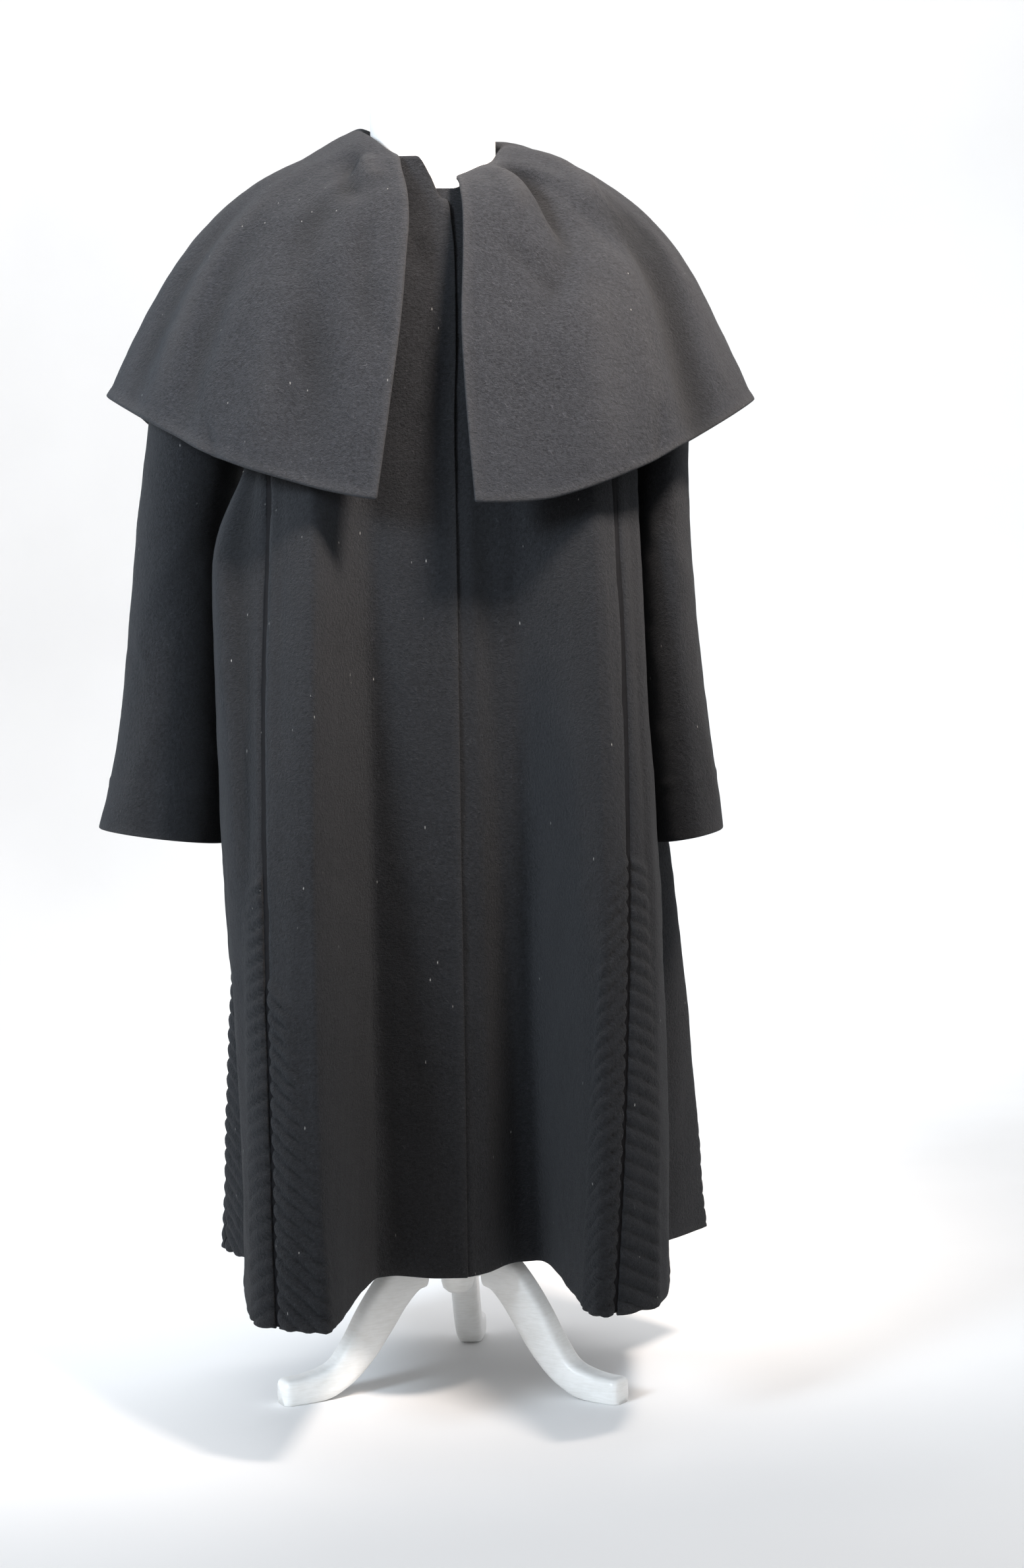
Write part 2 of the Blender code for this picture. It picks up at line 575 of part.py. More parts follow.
def make_cape(wool):
    """The cape collar: a low stand on the neck seam, rolled over and falling past the shoulders."""
    rows = np.array([0, 0.6, 1.0, 1.3, 1.7, 2.3, 3, 3.7, 4.5, 5.3, 6.2, 7.1, CAPE_HEM_RING])
    u = np.linspace(0, 1, CAPE_COLUMNS)
    right, left = along(CAPE_RIGHT_EDGE, rows), along(CAPE_LEFT_EDGE, rows)
    b = left[None, :] * (1 - u[:, None]) + (right[None, :] + 360.0) * u[:, None]
    s = np.broadcast_to(rows, b.shape)
    outer = cape(b, s)
    n = normal(cape, b, s)
    inner = outer - n * CAPE_WALL
    inner[:, 0, 2] = outer[:, 0, 2] + NECK_TILT * (inner[:, 0, 1] - outer[:, 0, 1])
    closed_wall("cape_collar", outer, inner, wool)


def stack_of_rings(name, rings, material):
    """A closed body through a stack of rings, each end closed by a point at its middle."""
    rings = np.asarray(rings)
    count, columns = rings.shape[:2]
    points = np.concatenate([rings.reshape(-1, 3), rings[0].mean(axis=0)[None], rings[-1].mean(axis=0)[None]])
    index = np.arange(count * columns).reshape(count, columns)
    faces = []
    for k in range(columns):
        following = (k + 1) % columns
        for i in range(count - 1):
            faces.append((index[i, k], index[i, following], index[i + 1, following], index[i + 1, k]))
        faces.append((index[0, following], index[0, k], count * columns))
        faces.append((index[-1, k], index[-1, following], count * columns + 1))
    return solid(name, points, faces, material)


def make_form(jersey, columns=28):
    """Limbless torso: neck, shoulders that carry the coat, waist and hip, smooth and whole."""
    a = np.linspace(-180, 180, columns, endpoint=False)
    s, c = np.sin(np.radians(a)), np.cos(np.radians(a))
    rings = []
    for z, radius in ((NECK_TOP, 0.046), (NECK_TOP - 0.004, 0.054), (NECK_TOP - 0.016, NECK_RADIUS)):
        rings.append(np.stack([radius * s, -radius * c - 0.008, np.full(columns, z)], -1))
    foot = np.stack([NECK_RADIUS * s, -NECK_RADIUS * c - 0.008, np.zeros(columns)], -1)
    foot[:, 2] = coat(90.0, 0.0)[2] + NECK_TILT * foot[:, 1] - 0.006
    rings.append(foot)
    for t, drop in ((0.4, 0.001), (0.7, 0.0), (1.0, 0.0), (1.4, 0.002), (1.8, 0.010)):
        t = np.full(columns, t)
        seat = FORM_SEAT + 0.006 * c**2 + drop
        rings.append(coat(a, t) - normal(coat, a, t) * seat[:, None])
    for t in (0, 1, 2, 3, 3.5, 4, 4.5, 5, 5.5, 6, 7):
        z, half_width, front, back = along(FORM_SECTIONS, t)
        depth = np.where(c > 0, front, back)
        rings.append(np.stack([half_width * s, -depth * c, np.full(columns, z)], -1))
    stack_of_rings("dress_form", rings, jersey)


def turned(name, profile, material, columns=24):
    """A turned piece on the form's axis; the profile is rows of radius and height."""
    a = np.linspace(0, 2 * math.pi, columns, endpoint=False)
    rings = [np.stack([r * np.cos(a), r * np.sin(a), np.full(columns, z)], -1) for r, z in profile]
    stack_of_rings(name, rings, material)


def make_stand(paint):
    """Pole, turned hub with its knob, and three curved legs."""
    bottom = FORM_SECTIONS[-1][0]
    turned("stand_pole", ((POLE_RADIUS, bottom - SEAT_GAP), (POLE_RADIUS, HUB_TOP + SEAT_GAP)), paint)
    turned("stand_hub", (
        (0.022, HUB_TOP), (0.030, HUB_TOP - 0.004), (HUB_RADIUS, HUB_TOP - 0.012),
        (HUB_RADIUS, HUB_BOTTOM + 0.010), (0.030, HUB_BOTTOM + 0.003), (KNOB_RADIUS, HUB_BOTTOM),
        (KNOB_RADIUS * 0.97, HUB_BOTTOM - 0.006), (KNOB_RADIUS * 0.72, KNOB_BOTTOM + 0.002),
        (KNOB_RADIUS * 0.40, KNOB_BOTTOM)), paint)
    for number, azimuth in enumerate(LEG_AZIMUTHS, 1):
        make_leg(f"stand_leg_{number}", math.radians(azimuth), paint)


def make_leg(name, azimuth, paint):
    """A leg that runs out and down in an S, with rounded sides and a flat foot on the floor."""
    out = np.array([math.sin(azimuth), -math.cos(azimuth), 0.0])
    side = np.array([math.cos(azimuth), math.sin(azimuth), 0.0])
    up = np.array([0.0, 0.0, 1.0])
    steps = np.linspace(0, len(LEG_ROUTE) - 1, 15)
    route = along(LEG_ROUTE, steps)
    slope = np.gradient(route[:, :2], axis=0)
    slope[0] = (1.0, 0.0)
    slope[-1] = (1.0, 0.0)
    corners = ((-0.5, -0.28), (-0.5, 0.28), (-0.28, 0.5), (0.28, 0.5),
               (0.5, 0.28), (0.5, -0.28), (0.28, -0.5), (-0.28, -0.5))
    rings = []
    for (reach, height, depth), (run, fall) in zip(route, slope):
        length = math.hypot(run, fall)
        across = (out * -fall + up * run) / length
        ring = [out * reach + up * height + across * depth * v + side * LEG_THICK * u for u, v in corners]
        rings.append(ring)
    rings = np.array(rings)
    rings[..., 2] = np.maximum(rings[..., 2], 0.0)
    rings[-1] = rings[-1].mean(axis=0) + (rings[-1] - rings[-1].mean(axis=0)) * 0.9
    rings[-1][:, 2] = np.maximum(rings[-1][:, 2], 0.0)
    stack_of_rings(name, rings, paint)


def material(name, colour, roughness, sheen=0.0):
    made = bpy.data.materials.new(name)
    made.use_nodes = True
    shader = made.node_tree.nodes["Principled BSDF"]
    shader.inputs["Base Color"].default_value = (*colour, 1.0)
    shader.inputs["Roughness"].default_value = roughness
    shader.inputs["Sheen Weight"].default_value = sheen
    return made


def main():
    for old in list(bpy.data.objects):
        bpy.data.objects.remove(old, do_unlink=True)
    wool = material("black_wool", BLACK_WOOL, 0.95, sheen=0.3)
    velvet = material("black_velvet", BLACK_VELVET, 0.8, sheen=0.6)
    jersey = material("white_jersey", WHITE_JERSEY, 0.8)
    paint = material("white_paint", WHITE_PAINT, 0.4)
    make_fronts(wool)
    make_sides(wool)
    make_back(wool)
    make_piping(velvet)
    make_sleeve("sleeve_right", -1, SLEEVE_RIGHT, wool)
    make_sleeve("sleeve_left", 1, SLEEVE_LEFT, wool)
    make_cape(wool)
    make_form(jersey)
    make_stand(paint)


main()
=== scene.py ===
# Looks for a black wool princess coat with a wide cape collar, on a white dress form with a tripod.
# Metres, +Z up. The coat faces -Y, and +X is the wearer's left. Every piece is a grid of points
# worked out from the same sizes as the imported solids, so it lies on the solid that it replaces.
import math

import bpy
import numpy as np
from mathutils import Matrix, Vector


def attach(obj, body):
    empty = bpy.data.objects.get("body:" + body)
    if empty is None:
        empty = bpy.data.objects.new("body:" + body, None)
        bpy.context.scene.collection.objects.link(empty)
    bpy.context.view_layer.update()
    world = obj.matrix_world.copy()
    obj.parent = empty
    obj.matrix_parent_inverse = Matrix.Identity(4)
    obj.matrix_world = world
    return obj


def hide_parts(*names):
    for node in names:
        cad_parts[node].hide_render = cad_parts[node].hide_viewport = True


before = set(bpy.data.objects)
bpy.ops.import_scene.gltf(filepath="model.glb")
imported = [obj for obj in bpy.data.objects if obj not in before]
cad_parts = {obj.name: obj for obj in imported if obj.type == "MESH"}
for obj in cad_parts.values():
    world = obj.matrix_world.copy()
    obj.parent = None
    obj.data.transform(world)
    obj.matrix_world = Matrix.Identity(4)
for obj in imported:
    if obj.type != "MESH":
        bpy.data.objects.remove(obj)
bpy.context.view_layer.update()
centre = np.array([0.0146, 0.0387, 0.0])  # from the form's axis to the part's origin


def smooth(x):
    # zero below 0, one above 1, three squares less two cubes between
    x = np.clip(x, 0.0, 1.0)
    return x * x * (3.0 - 2.0 * x)


def step(x, row):
    # smooth of the distance past the row's first value over its second
    return smooth((x - row[0]) / row[1])


def bell(distance, width):
    # one at no distance, falling as e to minus the square of the distance over the width
    return np.exp(-(distance / width) ** 2)


def along(table, t):
    # a cubic through the rows of a table, whose slope at a row is half the step between its neighbours
    table = np.asarray(table, float)
    last = len(table) - 1
    t = np.clip(np.asarray(t, float), 0.0, last)
    i = np.minimum(t.astype(int), last - 1)
    f = (t - i).reshape(t.shape + (1,) * (table.ndim - 1))
    p0, p1 = table[np.maximum(i - 1, 0)], table[i]
    p2, p3 = table[i + 1], table[np.minimum(i + 2, last)]
    m1, m2 = (p2 - p0) / 2, (p3 - p1) / 2
    return (p1 * (2 * f**3 - 3 * f**2 + 1) + m1 * (f**3 - 2 * f**2 + f)
            + p2 * (3 * f**2 - 2 * f**3) + m2 * (f**3 - f**2))


def plateau(a, row):
    # one between the second and third azimuth of the row, falling to zero at the first and fourth
    a = (a + 180.0) % 360.0 - 180.0
    return smooth((a - row[0]) / (row[1] - row[0])) * (1.0 - smooth((a - row[2]) / (row[3] - row[2])))


def ringPoint(a, halfWidth, front, back, zFront, zSide, zBack, rise=2.0):
    # half an ellipse forward and half an ellipse back, on a tilted plane that is crowned at its sides
    s, c = np.sin(np.radians(a)), np.cos(np.radians(a))
    y = -np.where(c > 0, front, back) * c
    tilt = (zBack - zFront) / (front + back)
    level = zFront + tilt * front
    return np.stack([halfWidth * s, y, level + tilt * y + (zSide - level) * np.abs(s) ** rise], -1)


def outward(surface, a, t):
    # the cross product of the surface's steps down and across, made one long
    across = surface(a + 0.05, t) - surface(a - 0.05, t)
    down = surface(a, t + 0.004) - surface(a, np.maximum(t - 0.004, 0.0))
    n = np.cross(down, across)
    return n / np.linalg.norm(n, axis=-1, keepdims=True)


def gridNormals(p, wrap=False):
    # the cross product of the grid's own steps down its rows and across its columns
    around = np.roll(p, -1, 0) - np.roll(p, 1, 0) if wrap else np.gradient(p, axis=0)
    n = np.cross(np.gradient(p, axis=1), around)
    return n / np.maximum(np.linalg.norm(n, axis=-1, keepdims=True), 1e-12)


def ripple(p, size, seed):
    # six sine waves of about one length, at turned directions and phases, added and divided by six
    rng = np.random.default_rng(seed)
    total = np.zeros(p.shape[:-1])
    for k in range(6):
        way = rng.normal(size=3)
        way /= np.linalg.norm(way)
        total += np.sin((p @ way) * 2 * math.pi / (size * rng.uniform(0.7, 1.5)) + rng.uniform(0, 6.28))
    return total / 6


def creaseDepth(a, v, speed, pitch, rows):
    # each row is a line from (a0, v0) to (a1, v1), laid flat by the metres in a degree and in a step of v:
    # a bell curve of the distance from the line, tapered along it towards both ends
    total = np.zeros(np.broadcast(a, v).shape)
    for a0, v0, a1, v1, width, depth in rows:
        runA, runV = (a1 - a0) * speed, (v1 - v0) * pitch
        pointA, pointV = (a - a0) * speed, (v - v0) * pitch
        length = np.hypot(runA, runV)
        f = (pointA * runA + pointV * runV) / length**2
        away = (pointA * runV - pointV * runA) / length
        taper = smooth((f + 0.25) / 0.5) * smooth((1.25 - f) / 0.5)
        total += depth * taper * np.exp(-(away / width) ** 2)
    return total


def meshPiece(name, points, faces, attributes=()):
    # one smooth object from all its points and faces at once, with one number a point for each attribute
    mesh = bpy.data.meshes.new(name)
    mesh.from_pydata(points.tolist(), [], faces.tolist())
    for title, values in attributes:
        layer = mesh.attributes.new(title, "FLOAT", "POINT")
        layer.data.foreach_set("value", np.ascontiguousarray(values, np.float32))
    mesh.shade_smooth()
    made = bpy.data.objects.new(name, mesh)
    bpy.context.collection.objects.link(made)
    return made


def rimLayers(g, h, axis, end, push):
    # two layers past an edge of grid g: the first 45 degrees round a half circle to grid h, the second halfway
    at, before = (0, 1) if end == 0 else (-1, -2)
    edge, partner, inside = np.take(g, at, axis), np.take(h, at, axis), np.take(g, before, axis)
    out = edge - inside
    out /= np.maximum(np.linalg.norm(out, axis=-1, keepdims=True), 1e-9)
    middle = (edge + partner) / 2
    half = np.maximum(np.linalg.norm(edge - partner, axis=-1, keepdims=True) / 2, 0.0002)
    first = middle + (edge - middle) * 0.75 + out * half * push * 0.66
    return first, middle + out * half * push


def closedWall(name, outer, inner, marks=(), wrap=False, pushes=(1.0, 1.0, 1.0, 1.0)):
    # a wall between two grids [column, row] whose free edges are rounded by rimLayers;
    # pushes are the roundness at the first and last column and the first and last row
    values = [np.stack([np.broadcast_to(m, outer.shape[:2]) for _, m in marks], -1)] if marks else []
    for axis in ((1,) if wrap else (0, 1)):
        low, high = pushes[2 * axis], pushes[2 * axis + 1]
        o1, mid = rimLayers(outer, inner, axis, 0, low)
        i1, _ = rimLayers(inner, outer, axis, 0, low)
        o2, end = rimLayers(outer, inner, axis, 1, high)
        i2, _ = rimLayers(inner, outer, axis, 1, high)
        stack = [np.expand_dims(x, axis) for x in (mid, o1, o2, end, i1, i2)]
        outer = np.concatenate([stack[0], stack[1], outer, stack[2], stack[3]], axis)
        inner = np.concatenate([stack[0], stack[4], inner, stack[5], stack[3]], axis)
        if values:
            width = [(2, 2) if k == axis else (0, 0) for k in range(3)]
            values = [np.pad(values[0], width, mode="edge")]
    columns, rows = outer.shape[:2]
    first = np.arange(columns * rows).reshape(columns, rows)
    second = first + columns * rows
    second[:, (0, -1)] = first[:, (0, -1)]
    if not wrap:
        second[(0, -1), :] = first[(0, -1), :]
    if wrap:
        first, second = np.vstack([first, first[:1]]), np.vstack([second, second[:1]])

    def quads(index):
        # each face is a point, the next in its column and the same two of the next column
        return np.stack([index[:-1, :-1], index[:-1, 1:], index[1:, 1:], index[1:, :-1]], -1).reshape(-1, 4)

    faces = np.concatenate([quads(first), quads(second)[:, ::-1]])
    used, faces = np.unique(faces, return_inverse=True)
    faces = faces.reshape(-1, 4)
    points = np.concatenate([outer.reshape(-1, 3), inner.reshape(-1, 3)])[used] + centre
    attributes = []
    if values:
        flat = values[0].reshape(-1, len(marks))
        attributes = [(title, np.concatenate([flat[:, k], flat[:, k]])[used]) for k, (title, _) in enumerate(marks)]
    return meshPiece(name, points, faces, attributes)


def closedStack(name, rings):
    # rings [ring, column] joined in order, with a point in the middle of the first and the last; the faces are
    # turned round if the sum of each corner with the cross product of the next two, over six, is below zero
    count, columns = rings.shape[:2]
    index = np.arange(count * columns).reshape(count, columns)
    index = np.hstack([index, index[:, :1]])
    a, b, c, d = index[:-1, :-1], index[1:, :-1], index[1:, 1:], index[:-1, 1:]
    sides = np.concatenate([np.stack([a, b, c], -1).reshape(-1, 3), np.stack([a, c, d], -1).reshape(-1, 3)])
    low = np.stack([index[0, :-1], index[0, 1:], np.full(columns, count * columns)], -1)
    high = np.stack([index[-1, 1:], index[-1, :-1], np.full(columns, count * columns + 1)], -1)
    points = np.concatenate([rings.reshape(-1, 3), rings[:1].mean(axis=1), rings[-1:].mean(axis=1)]) + centre
    faces = np.concatenate([sides, low, high])
    corners = points[faces]
    volume = (corners[:, 0] * np.cross(corners[:, 1], corners[:, 2])).sum() / 6
    if volume < 0:
        faces = faces[:, ::-1]
    return meshPiece(name, points, faces)


def dress(piece, material, slot, *nodes):
    # the piece takes its cloth and stands in for its solids on the one body
    piece.data.materials.append(material)
    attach(piece, "root")
    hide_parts(*nodes)


def newMaterial(name):
    # a material with its own nodes, and the shader that they feed
    made = bpy.data.materials.new(name)
    made.use_nodes = True
    tree = made.node_tree
    return made, tree, tree.nodes["Principled BSDF"]


def feed(tree, socket, value):
    # another node's output is linked to the input, and anything else becomes its fixed value
    if isinstance(value, bpy.types.NodeSocket):
        tree.links.new(value, socket)
    else:
        socket.default_value = value


def addNode(tree, kind, inputs=(), **settings):
    # a node with its settings made and its inputs fed by name
    node = tree.nodes.new(kind)
    for key, value in settings.items():
        setattr(node, key, value)
    for key, value in dict(inputs).items():
        feed(tree, node.inputs[key], value)
    return node


def noiseNode(tree, where, scale, detail=2.0, rough=0.5, distortion=0.0):
    # layered noise of the place, about one blotch a scaled metre
    return addNode(tree, "ShaderNodeTexNoise", {"Vector": where, "Scale": scale, "Detail": detail,
                                                "Roughness": rough, "Distortion": distortion}).outputs["Fac"]


def turned(tree, where, turn, scale):
    # the place turned, then stretched, so that a pattern lies along the thread
    return addNode(tree, "ShaderNodeMapping", {"Vector": where, "Rotation": turn, "Scale": scale}).outputs[0]


def rampNode(tree, value, stops):
    # colours that change evenly between the stops' places
    node = addNode(tree, "ShaderNodeValToRGB", {"Fac": value})
    ramp = node.color_ramp
    ramp.elements[0].position, ramp.elements[1].position = stops[0][0], stops[-1][0]
    ramp.elements[0].color, ramp.elements[1].color = stops[0][1], stops[-1][1]
    return node.outputs["Color"]


def mixNode(tree, share, first, second, blend="MIX"):
    # the first colour times one less the share, plus the second times the share
    node = addNode(tree, "ShaderNodeMix", data_type="RGBA", blend_type=blend)
    for key, kind, value in (("Factor", "VALUE", share), ("A", "RGBA", first), ("B", "RGBA", second)):
        feed(tree, next(s for s in node.inputs if s.name == key and s.type == kind), value)
    return next(s for s in node.outputs if s.type == "RGBA")


def mathNode(tree, operation, first, second):
    # the named sum of two values
    node = addNode(tree, "ShaderNodeMath", operation=operation)
    feed(tree, node.inputs[0], first)
    feed(tree, node.inputs[1], second)
    return node.outputs[0]


def weighted(tree, first, firstShare, second, secondShare):
    # the first value times its share, plus the second times its own
    return mathNode(tree, "ADD", mathNode(tree, "MULTIPLY", first, firstShare),
                    mathNode(tree, "MULTIPLY", second, secondShare))


def finish(tree, shader, inputs, height, strength, distance):
    # the shader's inputs fed by name, and its normal tilted by the slope of the height
    bump = addNode(tree, "ShaderNodeBump", {"Height": height, "Strength": strength, "Distance": distance})
    for key, value in {**inputs, "Normal": bump.outputs[0]}.items():
        feed(tree, shader.inputs[key], value)


def grey(v):
    # one value for red, green and blue
    return (v, v, v, 1.0)


woolLooks = {
    "dark": (0.0038, 0.0042, 0.0052), "light": (0.0205, 0.0220, 0.0258), "fibre": (0.060, 0.062, 0.068),
    # the pale brownish tone is for rubbed edges and for a painted highlight on the cape's crease ridges; the near
    # black after the lint is painted shade in the troughs of tucks and creases
    "worn": (0.050, 0.048, 0.048), "lint": (0.19, 0.19, 0.185, 1.0), "valleyShade": 0.003,
    "cloud": 9.0, "pebble": 350.0, "grain": 1500.0,     # blotches a metre
    "hairs": (((0.5, 0.3, 0.8), (260.0, 260.0, 1500.0), 1.2),   # turn, stretch, bend
              ((1.3, 0.9, 0.2), (220.0, 1300.0, 220.0), 1.5)),
    "lintTurn": (0.2, 0.6, 0.4), "lintStretch": (105.0, 105.0, 34.0),
    "rough": 0.89, "roughSpread": 0.10, "sheen": 0.07, "sheenRough": 0.55, "sheenTint": (0.66, 0.68, 0.72, 1.0),
    "specular": 0.15, "bump": 1.0, "bumpDistance": 0.0022,
    "paintedLightShare": {"coat": 0.55, "cape": 1.0},     # the coat's copy is darker than the cape's: painted shade on the coat under the cape
}


def woolMaterial(name, looks, paintedLightShare):
    # felted nap: three sizes of noise mixed dark to light, stretched fibres over it, a few lint specks,
    # paler along rubbed edges, with a painted highlight on the cape's crease ridges, and painted shade in the troughs
    # of the tucks and creases
    made, tree, shader = newMaterial(name)
    where = addNode(tree, "ShaderNodeTexCoord").outputs["Object"]
    cloud = noiseNode(tree, where, looks["cloud"], 3.0, 0.6)
    pebble = noiseNode(tree, where, looks["pebble"], 3.0, 0.62, 0.5)
    grain = noiseNode(tree, where, looks["grain"], 2.0, 0.6)
    hair, hairMore = (noiseNode(tree, turned(tree, where, turn, stretch), 1.0, distortion=bend)
                      for turn, stretch, bend in looks["hairs"])
    hairs = mathNode(tree, "MAXIMUM", hair, hairMore)

    def lift(colour):
        # the colour times this copy's share of painted light
        return tuple(c * paintedLightShare for c in looks[colour]) + (1.0,)

    body = rampNode(tree, weighted(tree, pebble, 0.6, grain, 0.4), [(0.36, lift("dark")), (0.66, lift("light"))])
    body = mixNode(tree, rampNode(tree, cloud, [(0.35, grey(0.0)), (0.75, grey(0.35))]), body, lift("light"))
    body = mixNode(tree, rampNode(tree, hairs, [(0.64, grey(0.0)), (0.80, grey(0.55))]), body, lift("fibre"))
    specks = addNode(tree, "ShaderNodeTexVoronoi", {
        "Vector": turned(tree, where, looks["lintTurn"], looks["lintStretch"]), "Scale": 1.0, "Randomness": 1.0})
    near = rampNode(tree, specks.outputs["Distance"], [(0.030, grey(1.0)), (0.060, grey(0.0))])
    draw = addNode(tree, "ShaderNodeSeparateColor", {"Color": specks.outputs["Color"]}).outputs[0]
    chosen = rampNode(tree, draw, [(0.62, grey(0.0)), (0.68, grey(1.0))])   # only some cells have a speck
    body = mixNode(tree, mixNode(tree, 1.0, near, chosen, "MULTIPLY"), body, looks["lint"])
    worn = addNode(tree, "ShaderNodeAttribute", attribute_name="worn").outputs["Fac"]
    deep = addNode(tree, "ShaderNodeAttribute", attribute_name="deep").outputs["Fac"]
    # paler along rubbed edges, and a painted highlight on the cape's crease ridges
    body = mixNode(tree, mathNode(tree, "MULTIPLY", worn, 0.18), body, lift("worn"))
    # painted shade: near black in the troughs of the tucks and at the bottom of the creases
    body = mixNode(tree, mathNode(tree, "MULTIPLY", deep, 0.80), body, grey(looks["valleyShade"]))
    rough = mathNode(tree, "ADD", mathNode(tree, "MULTIPLY", grain, looks["roughSpread"]), looks["rough"])
    height = mathNode(tree, "ADD", mathNode(tree, "MULTIPLY", pebble, 0.8), weighted(tree, grain, 0.35, hairs, 0.5))
    finish(tree, shader, {"Base Color": body, "Roughness": rough, "Sheen Weight": looks["sheen"],
                          "Sheen Roughness": looks["sheenRough"], "Sheen Tint": looks["sheenTint"],
                          "Specular IOR Level": looks["specular"]}, height, looks["bump"], looks["bumpDistance"])
    return made


velvetLooks = {"dark": (0.0025, 0.0025, 0.0030, 1.0), "light": (0.0045, 0.0045, 0.0055, 1.0), "pile": 1800.0,
               "patch": 120.0, "rough": 0.8, "sheen": 0.03, "sheenRough": 0.25, "specular": 0.12}


def velvetMaterial(looks):
    # short pile: the mean of a fine and a coarse noise from dark to light, with a wide sheen
    made, tree, shader = newMaterial("cottonVelvet")
    where = addNode(tree, "ShaderNodeTexCoord").outputs["Object"]
    pile = noiseNode(tree, where, looks["pile"], 2.0, 0.6)
    patch = noiseNode(tree, where, looks["patch"])
    body = rampNode(tree, weighted(tree, pile, 0.5, patch, 0.5), [(0.35, looks["dark"]), (0.7, looks["light"])])
    finish(tree, shader, {"Base Color": body, "Roughness": looks["rough"], "Sheen Weight": looks["sheen"],
                          "Sheen Roughness": looks["sheenRough"], "Specular IOR Level": looks["specular"]},
           pile, 0.5, 0.0005)
    return made


jerseyLooks = {"light": (0.74, 0.74, 0.735, 1.0), "shade": (0.64, 0.64, 0.635, 1.0), "pitch": 0.0011, "soil": 14.0,
               "rough": 0.82, "sheen": 0.15}


def jerseyMaterial(looks):
    # fine plain knit: two crossed sine waves of the stitch pitch, slightly broken by noise
    made, tree, shader = newMaterial("whiteJersey")
    where = addNode(tree, "ShaderNodeTexCoord").outputs["Object"]
    scale = 2 * math.pi / looks["pitch"] / 20   # a wave texture of scale 1 has a wave each 2 pi / 20 m
    down, across = (addNode(tree, "ShaderNodeTexWave", {"Vector": where, "Scale": scale, "Distortion": broken,
                                                        "Detail": 1.0}, bands_direction=way).outputs["Fac"]
                    for way, broken in (("Z", 0.6), ("X", 0.8)))
    knit = mathNode(tree, "MULTIPLY", down, across)
    soil = noiseNode(tree, where, looks["soil"], 4.0, 0.6)
    body = rampNode(tree, weighted(tree, knit, 0.6, soil, 0.5), [(0.2, looks["shade"]), (0.7, looks["light"])])
    finish(tree, shader, {"Base Color": body, "Roughness": looks["rough"], "Sheen Weight": looks["sheen"]},
           knit, 0.25, 0.0004)
    return made


paintLooks = {"light": (0.80, 0.80, 0.785, 1.0), "shade": (0.70, 0.695, 0.67, 1.0), "rough": 0.24,
              "brush": (90.0, 90.0, 700.0), "soil": 26.0}


def paintMaterial(looks):
    # satin paint brushed on wood: long stretched noise in the colour and a faint bump, and soil in the gloss
    made, tree, shader = newMaterial("whitePaint")
    where = addNode(tree, "ShaderNodeTexCoord").outputs["Object"]
    strokes = noiseNode(tree, turned(tree, where, (0.0, 0.0, 0.0), looks["brush"]), 1.0, 3.0)
    soil = noiseNode(tree, where, looks["soil"], 4.0, 0.65)
    body = rampNode(tree, weighted(tree, strokes, 0.4, soil, 0.6), [(0.36, looks["shade"]), (0.58, looks["light"])])
    rough = mathNode(tree, "ADD", mathNode(tree, "MULTIPLY", soil, 0.2), looks["rough"])
    finish(tree, shader, {"Base Color": body, "Roughness": rough}, strokes, 0.12, 0.0005)
    return made


# two copies of one wool, the coat's one darkened by painted shade
wool = woolMaterial("blackWool", woolLooks, woolLooks["paintedLightShare"]["coat"])
capeWool = woolMaterial("blackWoolCape", woolLooks, woolLooks["paintedLightShare"]["cape"])
velvet = velvetMaterial(velvetLooks)
jersey = jerseyMaterial(jerseyLooks)
paint = paintMaterial(paintLooks)
print("materials made")


